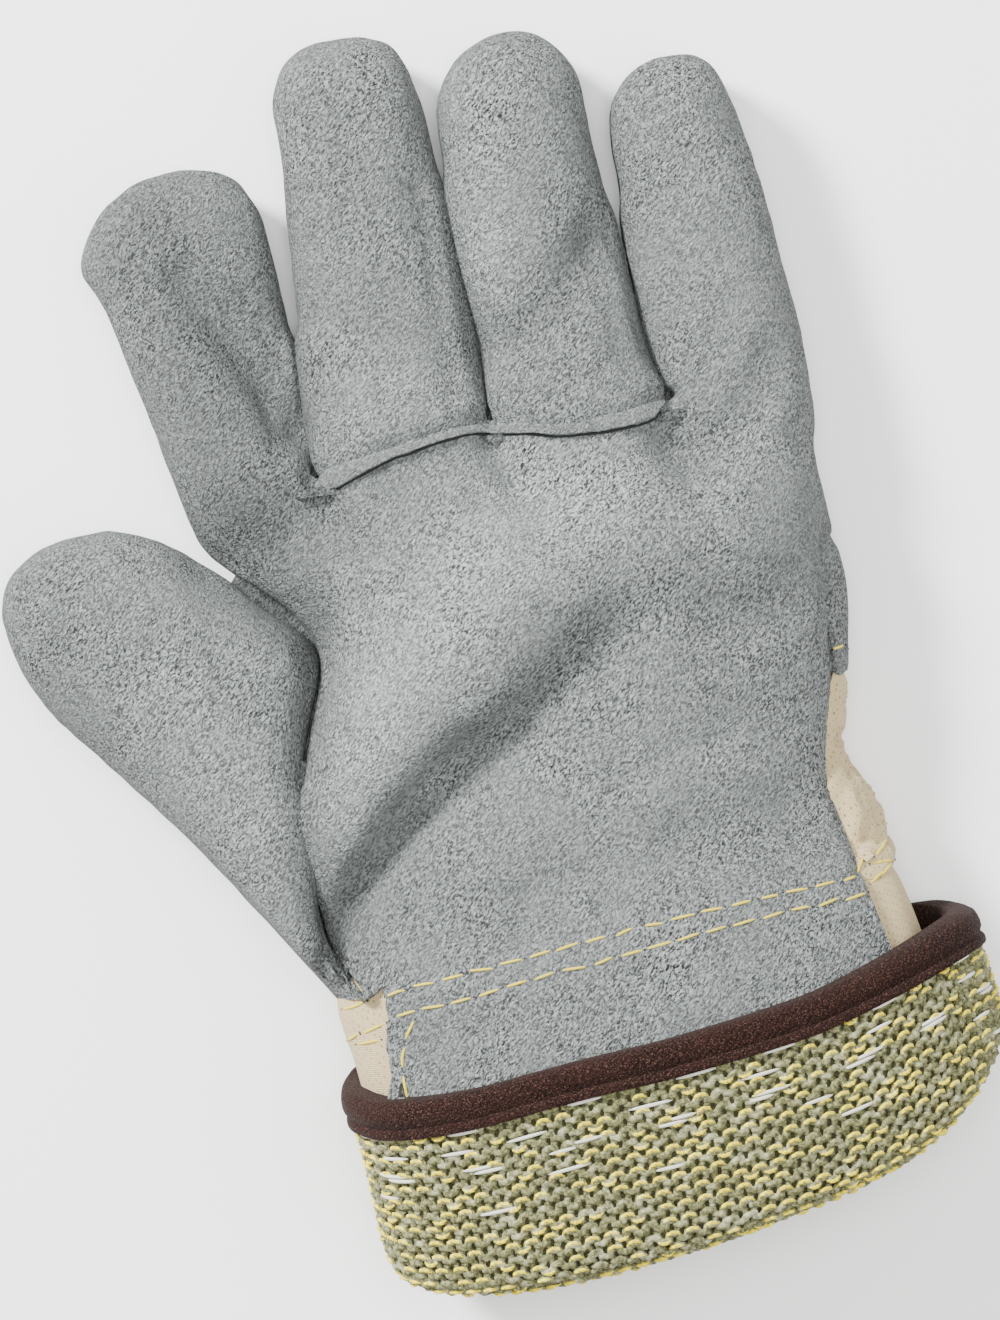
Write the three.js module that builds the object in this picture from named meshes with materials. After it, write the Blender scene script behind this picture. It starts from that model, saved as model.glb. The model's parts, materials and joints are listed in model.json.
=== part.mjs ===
// A rigger glove for the left hand, lying on its back with the palm up and its lined cuff turned back.
// Units are millimetres. +Z is up, +Y runs from the cuff to the fingertips, and the thumb is on the -X side.
// The origin is on the floor under the middle of the glove.
//
// The leather and canvas of the hand are one skin, shared out among the sewn pieces. Each piece is then
// thickened inwards into its own closed wall, so the glove is hollow from the cuff to every fingertip.
import * as THREE from "three";

// Thickness of each material.
const leatherWall = 1.6;
const canvasWall = 1.0;
const knitWall = 2.2;
const tapeWall = 1.0;
const weltWall = 2.4;

// Clearance between pieces that are sewn edge to edge, between the cuff's layers, and between the cuff and
// the hand's leather and canvas that are sewn over it.
const seamGap = 0.4;
const layerGap = 0.4;
const cuffGap = 0.7;

// The hand, from the wrist seam to the highest crotch of the fingers.
const palmLength = 117;
const palmDepth = 38;
const wristWidth = 129;
const sideSeamHeight = 13;

// The crotches of the fingers: their heights on the palm side and the back, and the slit below each of them.
const crotchTop = 22;
const crotchFloor = 3.5;
const slitGap = 0.9;

// The fingers. Widths are taken across the base, so that together they make the knuckles' width.
const indexWidth = 30.1;
const indexLength = 76;
const indexDepth = 25;
const indexLean = -3;
const middleWidth = 41;
const middleLength = 93.6;
const middleDepth = 26;
const middleLean = 2.9;
const ringWidth = 39.8;
const ringLength = 86.6;
const ringDepth = 26;
const ringLean = 0.5;
const littleWidth = 32;
const littleLength = 80.8;
const littleDepth = 24.5;
const littleLean = 0.5;

// The thumb: how far it stands out from the wrist's side, how far up the hand it reaches, and its thickness.
const thumbReach = 54;
const thumbLength = 112.8;
const thumbDepth = 33;
const thumbSeamHeight = 17;
const thumbBaseWidth = 6.6;

// The cuff, from the wrist seam to its fold, and the part of it that is turned back.
const cuffLength = 76.2;
const cuffHeight = 46;
const cuffFlare = 5;
const wristTuck = 2;
const bindingWidth = 9.5;

// The palm leather's strip over the cuff.
const stripLength = 37;

// The raised seam across the base of the middle and ring fingers.
const weltWidth = 6;
const weltLift = 0.6;

// How high the row of crotches lies, as a share of the palm's length, across half the knuckles' width.
const crotchRow = [
  { across: -1, up: 0.95 },
  { across: -0.58, up: 0.969 },
  { across: -0.5, up: 0.965 },
  { across: -0.36, up: 0.985 },
  { across: -0.15, up: 1 },
  { across: 0, up: 1 },
  { across: 0.11, up: 0.973 },
  { across: 0.25, up: 0.95 },
  { across: 0.4, up: 0.955 },
  { across: 0.553, up: 0.969 },
  { across: 1, up: 0.871 },
];

// Sections of the fingers, from the base to the tip. along is a share of the finger's length; left and
// right are its edges' distances from its axis, in shares of its width; top is a share of its depth.
const fingerSections = {
  index: [
    { along: 0, left: -0.5, right: 0.5, top: 1.06 },
    { along: 0.1, left: -0.535, right: 0.52, top: 1.05 },
    { along: 0.22, left: -0.565, right: 0.55, top: 1.03 },
    { along: 0.4, left: -0.61, right: 0.61, top: 1 },
    { along: 0.57, left: -0.655, right: 0.645, top: 1 },
    { along: 0.68, left: -0.7, right: 0.655, top: 1 },
    { along: 0.75, left: -0.765, right: 0.66, top: 0.98 },
    { along: 0.81, left: -0.755, right: 0.655, top: 0.95 },
    { along: 0.88, left: -0.64, right: 0.6, top: 0.9 },
    { along: 0.94, left: -0.49, right: 0.5, top: 0.8 },
    { along: 0.985, left: -0.26, right: 0.28, top: 0.66 },
  ],
  middle: [
    { along: 0, left: -0.5, right: 0.5, top: 1.12 },
    { along: 0.1, left: -0.48, right: 0.485, top: 1.1 },
    { along: 0.23, left: -0.468, right: 0.487, top: 1.05 },
    { along: 0.35, left: -0.45, right: 0.472, top: 1 },
    { along: 0.49, left: -0.43, right: 0.458, top: 1 },
    { along: 0.64, left: -0.404, right: 0.46, top: 1 },
    { along: 0.77, left: -0.382, right: 0.452, top: 1 },
    { along: 0.86, left: -0.38, right: 0.42, top: 0.97 },
    { along: 0.925, left: -0.33, right: 0.375, top: 0.9 },
    { along: 0.97, left: -0.25, right: 0.3, top: 0.79 },
    { along: 0.992, left: -0.14, right: 0.18, top: 0.66 },
  ],
  ring: [
    { along: 0, left: -0.5, right: 0.5, top: 1.12 },
    { along: 0.1, left: -0.468, right: 0.44, top: 1.1 },
    { along: 0.24, left: -0.452, right: 0.425, top: 1.05 },
    { along: 0.38, left: -0.46, right: 0.415, top: 1 },
    { along: 0.52, left: -0.464, right: 0.42, top: 1 },
    { along: 0.66, left: -0.452, right: 0.41, top: 1 },
    { along: 0.78, left: -0.445, right: 0.415, top: 1 },
    { along: 0.86, left: -0.41, right: 0.4, top: 0.97 },
    { along: 0.92, left: -0.33, right: 0.335, top: 0.9 },
    { along: 0.965, left: -0.22, right: 0.25, top: 0.79 },
    { along: 0.99, left: -0.1, right: 0.15, top: 0.66 },
  ],
  little: [
    { along: 0, left: -0.5, right: 0.5, top: 1.08 },
    { along: 0.1, left: -0.5, right: 0.527, top: 1.06 },
    { along: 0.24, left: -0.538, right: 0.53, top: 1.03 },
    { along: 0.38, left: -0.53, right: 0.51, top: 1 },
    { along: 0.51, left: -0.523, right: 0.5, top: 1 },
    { along: 0.65, left: -0.512, right: 0.475, top: 1 },
    { along: 0.77, left: -0.505, right: 0.435, top: 1 },
    { along: 0.86, left: -0.47, right: 0.395, top: 0.97 },
    { along: 0.92, left: -0.4, right: 0.35, top: 0.9 },
    { along: 0.965, left: -0.29, right: 0.28, top: 0.79 },
    { along: 0.99, left: -0.17, right: 0.18, top: 0.66 },
  ],
};

// Sections of the hand above the wrist. left and right are its sides, in shares of half the hand's width
// there; leftUp and rightUp are shares of the palm's length; top is a share of the palm's depth; inset is
// how far the palm leather's edge stands in from the right side, as a share of the wrist's width.
const handSections = [
  { left: -0.942, right: 1.01, leftUp: 0.094, rightUp: 0.088, top: 0.98, inset: 0.073 },
  { left: -0.936, right: 0.948, leftUp: 0.195, rightUp: 0.19, top: 0.95, inset: 0.052 },
  { left: -0.923, right: 0.93, leftUp: 0.307, rightUp: 0.297, top: 0.93, inset: 0.021 },
  { left: -0.893, right: 0.966, leftUp: 0.385, rightUp: 0.375, top: 0.93, inset: 0.022 },
  { left: -0.829, right: 0.997, leftUp: 0.477, rightUp: 0.472, top: 0.94, inset: 0.03 },
  { left: -0.759, right: 1.012, leftUp: 0.56, rightUp: 0.56, top: 0.94, inset: 0.029 },
  { left: -0.719, right: 1.007, leftUp: 0.648, rightUp: 0.64, top: 0.93, inset: 0.022 },
  { left: -0.809, right: 0.996, leftUp: 0.75, rightUp: 0.715, top: 0.89, inset: 0.022 },
  { left: -0.923, right: 0.989, leftUp: 0.823, rightUp: 0.775, top: 0.84, inset: 0.022 },
  { left: -0.99, right: 0.996, leftUp: 0.885, rightUp: 0.825, top: 0.79, inset: 0.022 },
];

// How high the left side of each of those sections lies, in shares of the palm's depth. Its front and back
// are apart where the thumb joins the hand, and close at the seventh.
const sideHeights = [
  { front: 0.7, back: 0.17 },
  { front: 0.68, back: 0.14 },
  { front: 0.66, back: 0.13 },
  { front: 0.64, back: 0.13 },
  { front: 0.6, back: 0.16 },
  { front: 0.52, back: 0.24 },
  { front: 0.43, back: 0.43 },
  { front: 0.37, back: 0.37 },
  { front: 0.34, back: 0.34 },
  { front: 0.34, back: 0.34 },
];

// Sections of the thumb above the wrist. out is a share of its reach and up of its length, at its outer and
// inner edges; top and floor are shares of its depth. The first seven have the seam with the hand as their
// inner edge.
const thumbSections = [
  { outerOut: 0.126, outerUp: 0.106, top: 1.05, floor: 0.16 },
  { outerOut: 0.235, outerUp: 0.195, top: 1.02, floor: 0.12 },
  { outerOut: 0.383, outerUp: 0.315, top: 1, floor: 0.1 },
  { outerOut: 0.513, outerUp: 0.408, top: 1, floor: 0.1 },
  { outerOut: 0.674, outerUp: 0.521, top: 1, floor: 0.1 },
  { outerOut: 0.8, outerUp: 0.603, top: 1, floor: 0.1 },
  { outerOut: 0.9, outerUp: 0.676, top: 1, floor: 0.1 },
  { outerOut: 0.963, outerUp: 0.754, innerOut: -0.117, innerUp: 0.752, top: 1, floor: 0.1 },
  { outerOut: 0.994, outerUp: 0.829, innerOut: 0.004, innerUp: 0.827, top: 0.99, floor: 0.12 },
  { outerOut: 0.987, outerUp: 0.895, innerOut: 0.152, innerUp: 0.898, top: 0.95, floor: 0.16 },
  { outerOut: 0.93, outerUp: 0.947, innerOut: 0.291, innerUp: 0.953, top: 0.87, floor: 0.22 },
  { outerOut: 0.813, outerUp: 0.984, innerOut: 0.433, innerUp: 0.987, top: 0.74, floor: 0.32 },
];
const thumbTip = { out: 0.628, up: 1 };

// Swells and creases of the palm. across is a share of half the knuckles' width and along of the palm's
// length; height is a share of the palm's depth, and spread, the fold's half width, of the palm's length.
const palmFolds = {
  mainSwell: [
    { across: -0.66, along: 0.325, height: 0.1, spread: 0.1 },
    { across: -0.49, along: 0.444, height: 0.14, spread: 0.12 },
    { across: -0.27, along: 0.564, height: 0.16, spread: 0.14 },
    { across: 0, along: 0.65, height: 0.14, spread: 0.15 },
    { across: 0.25, along: 0.7, height: 0.1, spread: 0.15 },
    { across: 0.46, along: 0.735, height: 0.05, spread: 0.14 },
  ],
  lifeCrease: [
    { across: -0.85, along: 0.12, height: -0.05, spread: 0.06 },
    { across: -0.747, along: 0.19, height: -0.12, spread: 0.07 },
    { across: -0.6, along: 0.278, height: -0.17, spread: 0.075 },
    { across: -0.449, along: 0.335, height: -0.16, spread: 0.08 },
    { across: -0.28, along: 0.4, height: -0.13, spread: 0.085 },
    { across: -0.116, along: 0.446, height: -0.11, spread: 0.09 },
    { across: 0.1, along: 0.504, height: -0.09, spread: 0.095 },
    { across: 0.315, along: 0.563, height: -0.06, spread: 0.1 },
    { across: 0.535, along: 0.63, height: -0.03, spread: 0.1 },
  ],
  heelSwell: [
    { across: -0.55, along: 0.14, height: 0.03, spread: 0.07 },
    { across: -0.1, along: 0.28, height: 0.05, spread: 0.1 },
    { across: 0.4, along: 0.4, height: 0.05, spread: 0.12 },
  ],
  indexHollow: [
    { across: -0.6, along: 0.94, height: -0.06, spread: 0.06 },
    { across: -0.66, along: 0.85, height: -0.14, spread: 0.08 },
    { across: -0.7, along: 0.74, height: -0.12, spread: 0.07 },
  ],
};

// The crease along the index finger's side, with across in shares of its width and along of its length.
const indexCrease = [
  { across: 0.08, along: 0.66, height: -0.02, spread: 0.06 },
  { across: 0.28, along: 0.47, height: -0.14, spread: 0.07 },
  { across: 0.48, along: 0.27, height: -0.18, spread: 0.07 },
  { across: 0.52, along: 0.12, height: -0.1, spread: 0.06 },
];

// The cuff as an oval. down is a share of the cuff's length; left and right are shares of half the wrist's
// width, to which flare adds its share of the flare on the right; top is a share of the cuff's height.
const cuffSections = [
  { down: 0, left: -0.945, right: 0.985, flare: 0, top: 0.87 },
  { down: 0.05, left: -0.945, right: 0.99, flare: 0, top: 0.88 },
  { down: 0.25, left: -0.92, right: 0.995, flare: 0.5, top: 0.93 },
  { down: 0.55, left: -0.91, right: 1, flare: 0.8, top: 0.97 },
  { down: 1, left: -0.91, right: 1, flare: 1, top: 0.98 },
];

// Round the cuff by angle in degrees, from its right side over the palm side: how far down the fold and
// the hem lie, as shares of the cuff's length, and how far the turned-back part stands off the cuff, as a
// share of the binding's width.
const cuffTurns = [
  { angle: 0, fold: 0.57, hem: 0.18, standOff: 1 },
  { angle: 12, fold: 0.62, hem: 0.19, standOff: 0.92 },
  { angle: 25, fold: 0.7, hem: 0.21, standOff: 0.74 },
  { angle: 45, fold: 0.81, hem: 0.26, standOff: 0.54 },
  { angle: 60, fold: 0.86, hem: 0.3, standOff: 0.5 },
  { angle: 90, fold: 0.93, hem: 0.375, standOff: 0.48 },
  { angle: 105, fold: 0.95, hem: 0.385, standOff: 0.47 },
  { angle: 120, fold: 0.945, hem: 0.385, standOff: 0.46 },
  { angle: 135, fold: 0.93, hem: 0.37, standOff: 0.45 },
  { angle: 150, fold: 0.9, hem: 0.34, standOff: 0.42 },
  { angle: 165, fold: 0.86, hem: 0.31, standOff: 0.29 },
  { angle: 180, fold: 0.79, hem: 0.29, standOff: 0.23 },
  { angle: 200, fold: 0.82, hem: 0.25, standOff: 0.23 },
  { angle: 240, fold: 0.84, hem: 0.22, standOff: 0.28 },
  { angle: 270, fold: 0.82, hem: 0.19, standOff: 0.3 },
  { angle: 300, fold: 0.76, hem: 0.165, standOff: 0.36 },
  { angle: 335, fold: 0.65, hem: 0.15, standOff: 0.72 },
  { angle: 360, fold: 0.57, hem: 0.18, standOff: 1 },
];
const underside = 270;

// Where the cuff's rows lie along its two legs, as shares of the way down to the fold.
const legRows = { cuff: [0.12, 0.4, 0.75], turnedBack: [0.6, 0.25, 0] };

// How far the binding's fold stands out from the hem, as a share of the tape's thickness.
const tapeCrown = 1.3;

// The raised seam, from the index side to the little side. along runs from the crotch beside the index
// finger to the one beside the little finger; width and height are shares of its own.
const weltSections = [
  { along: 0, width: 0.6, height: 0.7 },
  { along: 0.03, width: 0.95, height: 0.9 },
  { along: 0.1, width: 0.9, height: 1 },
  { along: 0.25, width: 0.7, height: 0.95 },
  { along: 0.42, width: 0.5, height: 0.8 },
  { along: 0.58, width: 0.5, height: 0.8 },
  { along: 0.75, width: 0.75, height: 0.95 },
  { along: 0.9, width: 0.9, height: 1 },
  { along: 0.97, width: 0.8, height: 0.9 },
  { along: 1, width: 0.5, height: 0.6 },
];

// Columns of faces. A finger's front runs over it from side to side, and where two fingers meet, its last
// columns go down into the slit between them.
const frontColumns = 10;
const frontSlitColumns = 2;
const backColumns = 6;
const backSlitColumns = 1;
const cuffColumns = 36;
const foldSteps = 4;

// The front columns at which the palm leather's right edge lies, counted from the side, and its strip's
// left edge.
const edgeColumns = 2;
const stripColumn = 3;

// The rows at which the knuckle strap ends, and from which the palm leather reaches the side seam.
const strapRow = 4;
const fullPalmRow = 7;

// Roundness of the sections: 2 is an ellipse, and more is squarer.
const fingerRoundness = 2.3;
const palmRoundness = 2.5;
const floorRoundness = 4;
const cuffRoundness = 2.4;
const cuffFloorRoundness = 3.4;

// How far a back would sink below the floor if the floor didn't flatten it, as a share of its depth.
const floorPress = 0.08;

// Half the hand's width, as a share, over which a side's height turns into that of the side seam.
const sideBlend = 0.5;

const finishes = {
  leather: { color: 0xa3aaa8, roughness: 0.95, metalness: 0 },
  canvas: { color: 0xd8cdb4, roughness: 0.9, metalness: 0 },
  knit: { color: 0x97996f, roughness: 0.95, metalness: 0 },
  binding: { color: 0x46302a, roughness: 0.85, metalness: 0 },
};
const { lerp, clamp, degToRad, radToDeg, smoothstep } = THREE.MathUtils;
const signedPower = (value, power) => Math.sign(value) * Math.abs(value) ** power;

// The height of a rounded section at a share of its width, from 0 at its edges to 1.
function roundOff(share, roundness) {
  return Math.max(0, 1 - Math.abs(2 * share - 1) ** roundness) ** (1 / roundness);
}

// The share of a section's width at which a column lies, so that the columns are even along its curve.
function columnShare(column, columns, roundness) {
  return (1 - signedPower(Math.cos((column / columns) * Math.PI), 2 / roundness)) / 2;
}

// A value of a table at a place between its rows.
function tableValue(table, key, place, value) {
  let row = 0;
  while (row < table.length - 2 && table[row + 1][key] < place) row += 1;
  const share = (place - table[row][key]) / (table[row + 1][key] - table[row][key]);
  return lerp(table[row][value], table[row + 1][value], clamp(share, 0, 1));
}

// The height of a ridge or crease along a line of points, at a place given in the same shares as the line.
function foldHeight(line, across, along, scale) {
  const place = new THREE.Vector2(across * scale.across, along * scale.along);
  let nearest = Infinity;
  let height = 0;
  for (let i = 0; i < line.length - 1; i += 1) {
    const start = new THREE.Vector2(line[i].across * scale.across, line[i].along * scale.along);
    const end = new THREE.Vector2(line[i + 1].across * scale.across, line[i + 1].along * scale.along);
    const way = end.sub(start);
    const share = clamp(place.clone().sub(start).dot(way) / way.lengthSq(), 0, 1);
    const spread = lerp(line[i].spread, line[i + 1].spread, share) * scale.along;
    const distance = place.distanceTo(start.addScaledVector(way, share)) / spread;
    if (distance < nearest) {
      nearest = distance;
      height = lerp(line[i].height, line[i + 1].height, share) * scale.height;
    }
  }
  return height * Math.exp(-nearest * nearest);
}

// The fingers side by side. Each finger's axis starts in the middle of its own width.
const knuckleWidth = indexWidth + middleWidth + ringWidth + littleWidth;
const fingers = [
  { name: "index", width: indexWidth, length: indexLength, depth: indexDepth, lean: indexLean },
  { name: "middle", width: middleWidth, length: middleLength, depth: middleDepth, lean: middleLean },
  { name: "ring", width: ringWidth, length: ringLength, depth: ringDepth, lean: ringLean },
  { name: "little", width: littleWidth, length: littleLength, depth: littleDepth, lean: littleLean },
];
fingers.forEach((finger, i) => {
  finger.left = i === 0 ? -knuckleWidth / 2 : fingers[i - 1].right;
  finger.right = finger.left + finger.width;
  const middle = (finger.left + finger.right) / 2;
  finger.base = new THREE.Vector2(middle, (crotchUp(finger.left) + crotchUp(finger.right)) / 2);
  finger.axis = new THREE.Vector2(Math.sin(degToRad(finger.lean)), Math.cos(degToRad(finger.lean)));
  finger.across = new THREE.Vector2(finger.axis.y, -finger.axis.x);
  finger.leftSlit = i > 0;
  finger.rightSlit = i < fingers.length - 1;
});

function crotchUp(across) {
  return palmLength * tableValue(crotchRow, "across", (2 * across) / knuckleWidth, "up");
}

// A section of a finger: the row over its front, from left to right, and the one under its back, from right
// to left.
function fingerSection(finger, section) {
  const centre = finger.base.clone().addScaledVector(finger.axis, section.along * finger.length);
  const top = section.top * finger.depth;
  const floor = Math.max(0, 1 - section.top) * finger.depth - floorPress * sideSeamHeight;
  const place = (share, height) => {
    const side = lerp(section.left, section.right, share);
    const plan = centre.clone().addScaledVector(finger.across, side * finger.width);
    return new THREE.Vector3(plan.x, plan.y, height(side));
  };
  const front = [];
  for (let j = 0; j <= frontColumns; j += 1) {
    const share = columnShare(j, frontColumns, fingerRoundness);
    const round = roundOff(share, fingerRoundness);
    const crease = (side) => (finger.name === "index" ? creaseHeight(side, section.along, finger) : 0);
    front.push(place(share, (side) => lerp(sideSeamHeight, top + crease(side), round)));
  }
  const back = [];
  for (let k = 0; k <= backColumns; k += 1) {
    const share = 1 - columnShare(k, backColumns, fingerRoundness);
    const height = lerp(sideSeamHeight, floor, roundOff(share, floorRoundness));
    back.push(place(share, () => Math.max(0, height)));
  }
  back[0] = front[frontColumns];
  back[backColumns] = front[0];
  return { front, back };
}

function creaseHeight(side, along, finger) {
  const scale = { across: finger.width, along: finger.length, height: finger.depth };
  return foldHeight(indexCrease, side, along, scale);
}

// The base of a finger, on the row of crotches. Its last columns stand over each other in the slit beside it.
function fingerBase(finger) {
  const first = finger.leftSlit ? frontSlitColumns : 0;
  const last = finger.rightSlit ? frontColumns - frontSlitColumns : frontColumns;
  const top = fingerSections[finger.name][0].top * finger.depth;
  const column = (j) => columnShare(j, frontColumns, fingerRoundness);
  const front = [];
  for (let j = 0; j <= frontColumns; j += 1) {
    const share = clamp((column(j) - column(first)) / (column(last) - column(first)), 0, 1);
    const across = lerp(finger.left, finger.right, share);
    const atCrotch = (finger.leftSlit && j === first) || (finger.rightSlit && j === last);
    const height = lerp(sideSeamHeight, top, roundOff(column(j), fingerRoundness));
    const aside = j < first ? slitGap / 2 : j > last ? -slitGap / 2 : 0;
    front.push(new THREE.Vector3(across + aside, crotchUp(across), atCrotch ? crotchTop : height));
  }
  const backFirst = finger.rightSlit ? backSlitColumns : 0;
  const backLast = finger.leftSlit ? backColumns - backSlitColumns : backColumns;
  const back = [];
  for (let k = 0; k <= backColumns; k += 1) {
    const across = lerp(finger.right, finger.left, (k - backFirst) / (backLast - backFirst));
    const atCrotch = (finger.rightSlit && k === backFirst) || (finger.leftSlit && k === backLast);
    back.push(new THREE.Vector3(across, crotchUp(across), atCrotch ? crotchFloor : 0));
  }
  back[0] = front[frontColumns];
  back[backColumns] = front[0];
  return { front, back, first, last, backFirst, backLast };
}

// The row of crotches, taken from the fingers' bases: over the front from left to right, under the back
// from right to left.
const bases = fingers.map(fingerBase);
const joinSpans = (spans) => spans.flatMap((span, i) => (i === 0 ? span : span.slice(1)));
const crotches = {
  front: joinSpans(bases.map((base) => base.front.slice(base.first, base.last + 1))),
  back: joinSpans(bases.map((base) => base.back.slice(base.backFirst, base.backLast + 1)).reverse()),
};
const frontShares = crotches.front.map((point) => point.x / knuckleWidth + 0.5);
const backShares = crotches.back.map((point) => point.x / knuckleWidth + 0.5);
const lastColumn = frontShares.length - 1;
const edgeColumn = lastColumn - edgeColumns;

// Where a front column lies across a row, as a share, with the palm leather's right edge standing in by an inset.
function insetShare(share, inset) {
  const edge = frontShares[edgeColumn];
  return share <= edge ? (share / edge) * (1 - inset) : 1 - (inset * (1 - share)) / (1 - edge);
}

// The outside of the cuff's canvas at a distance down from the wrist seam, grown outwards by a distance.
const floorTurn = tableValue(cuffTurns, "angle", underside, "standOff") * bindingWidth;
const turnedThickness = canvasWall + layerGap + knitWall;
const cuffFloor = floorTurn + turnedThickness + layerGap + tapeWall;
function cuffOval(down, grow) {
  const value = (name) => tableValue(cuffSections, "down", down / cuffLength, name);
  const half = wristWidth / 2;
  return {
    left: half * value("left") - grow,
    right: half * value("right") + cuffFlare * value("flare") + grow,
    top: cuffHeight * value("top") + grow,
    floor: cuffFloor - grow,
  };
}

function ovalPoint(oval, angle, up) {
  const roundness = Math.sin(angle) < 0 ? cuffFloorRoundness : cuffRoundness;
  return new THREE.Vector3(
    lerp(oval.left, oval.right, (1 + signedPower(Math.cos(angle), 2 / roundness)) / 2),
    up,
    lerp(oval.floor, oval.top, (1 + signedPower(Math.sin(angle), 2 / roundness)) / 2),
  );
}

// A point of the leather's or canvas's row on the cuff, at a place across it, over the palm side or under
// the back.
const wristGrow = leatherWall + cuffGap;
function onCuff(down, across, side) {
  const oval = cuffOval(down, wristGrow);
  const share = clamp((across - oval.left) / (oval.right - oval.left), 0, 1);
  const roundness = side < 0 ? cuffFloorRoundness : cuffRoundness;
  const angle = Math.acos(clamp(signedPower(2 * share - 1, roundness / 2), -1, 1));
  return ovalPoint(oval, side * angle, -down);
}

// A row of the hand on the cuff's oval, at the wrist seam or further down the strip.
const wristInset = 0.07;
function cuffRow(down) {
  const oval = cuffOval(down, wristGrow);
  const across = (share) => lerp(oval.left + thumbBaseWidth, oval.right, share);
  return {
    front: frontShares.map((share) => onCuff(down, across(insetShare(share, wristInset)), 1)),
    back: backShares.map((share) => onCuff(down, across(share), -1)),
  };
}

// A row of the hand from the tables of its sections. Its heights turn into those of the crotches towards
// the fingers.
const fingerBlendStart = 0.6;
function handRow(section, i) {
  const side = sideHeights[i];
  const up = (section.leftUp + section.rightUp) / 2;
  const half = lerp(wristWidth, knuckleWidth, up) / 2;
  const left = new THREE.Vector2(section.left * half, section.leftUp * palmLength);
  const right = new THREE.Vector2(section.right * half, section.rightUp * palmLength);
  const inset = (section.inset * wristWidth) / (right.x - left.x);
  const blend = smoothstep(up, fingerBlendStart, 1);
  const place = (share) => {
    const plan = left.clone().lerp(right, share);
    const straight = palmLength * lerp(crotchRow[0].up, crotchRow[crotchRow.length - 1].up, share);
    return plan.setY(plan.y + (crotchUp(plan.x) - straight) * up ** 2);
  };
  const front = frontShares.map((natural, j) => {
    const share = insetShare(natural, inset);
    const plan = place(share);
    const base = lerp(side.front * palmDepth, sideSeamHeight, smoothstep(share, 0, sideBlend));
    const scale = { across: knuckleWidth / 2, along: palmLength, height: palmDepth };
    let top = section.top * palmDepth;
    for (const line of Object.values(palmFolds)) {
      top += foldHeight(line, plan.x / scale.across, plan.y / scale.along, scale);
    }
    const height = lerp(base, top, roundOff(share, palmRoundness));
    return new THREE.Vector3(plan.x, plan.y, lerp(height, crotches.front[j].z, blend));
  });
  const back = backShares.map((share, k) => {
    const plan = place(share);
    const base = lerp(side.back * palmDepth, sideSeamHeight, smoothstep(share, 0, sideBlend));
    const height = Math.max(0, lerp(base, -floorPress * palmDepth, roundOff(share, floorRoundness)));
    return new THREE.Vector3(plan.x, plan.y, lerp(height, crotches.back[k].z, blend));
  });
  back[0] = front[lastColumn];
  if (side.front === side.back) back[back.length - 1] = front[0];
  return { front, back };
}

// The leather and canvas skin: its points, and its faces with the piece that each belongs to.
const skin = { points: [], known: new Map(), faces: [] };

function pointIndex(point) {
  const key = point.toArray().map((value) => Math.round(value * 1000)).join();
  if (!skin.known.has(key)) {
    skin.known.set(key, skin.points.length);
    skin.points.push(point);
  }
  return skin.known.get(key);
}

// Faces between two rows, the second nearer the fingertips or the thumb's tip. pieceOf names each column's piece.
function joinRows(lower, upper, pieceOf) {
  for (let j = 0; j < lower.length - 1; j += 1) {
    const corners = [lower[j], lower[j + 1], upper[j + 1], upper[j]].map(pointIndex);
    const different = corners.filter((corner, k) => corner !== corners[(k + 1) % corners.length]);
    const piece = pieceOf(j);
    if (piece && different.length > 2) skin.faces.push({ piece, corners: different });
  }
}

// The hand, from the wrist seam to the row of crotches.
const handRows = [cuffRow(0), ...handSections.map(handRow), crotches];
for (let row = 0; row < handRows.length - 1; row += 1) {
  const backPiece = row < strapRow ? "back_canvas" : "knuckle_strap";
  const palmPiece = (j) => (j < edgeColumn || row >= fullPalmRow ? "palm_leather" : backPiece);
  joinRows(handRows[row].front, handRows[row + 1].front, palmPiece);
  joinRows(handRows[row].back, handRows[row + 1].back, () => backPiece);
}

// The strip of the palm leather that runs down over the cuff.
const stripRows = 3;
for (let row = 0; row < stripRows; row += 1) {
  const upper = cuffRow((stripLength * row) / stripRows).front;
  const lower = cuffRow((stripLength * (row + 1)) / stripRows).front;
  joinRows(lower, upper, (j) => (j >= stripColumn && j < edgeColumn ? "palm_leather" : null));
}

// The fingers. The fronts of the outer two are cut in one with the palm.
const frontPieces = {
  index: "palm_leather",
  middle: "middle_finger_front",
  ring: "ring_finger_front",
  little: "palm_leather",
};
const fingerRows = fingers.map((finger, i) => {
  const tip = finger.base.clone().addScaledVector(finger.axis, finger.length);
  const closed = (count) => Array(count + 1).fill(new THREE.Vector3(tip.x, tip.y, sideSeamHeight));
  const sections = fingerSections[finger.name].slice(1).map((section) => fingerSection(finger, section));
  const rows = [bases[i], ...sections, { front: closed(frontColumns), back: closed(backColumns) }];
  for (let row = 0; row < rows.length - 1; row += 1) {
    joinRows(rows[row].front, rows[row + 1].front, () => frontPieces[finger.name]);
    joinRows(rows[row].back, rows[row + 1].back, () => `${finger.name}_finger_back`);
  }
  return rows;
});

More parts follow.
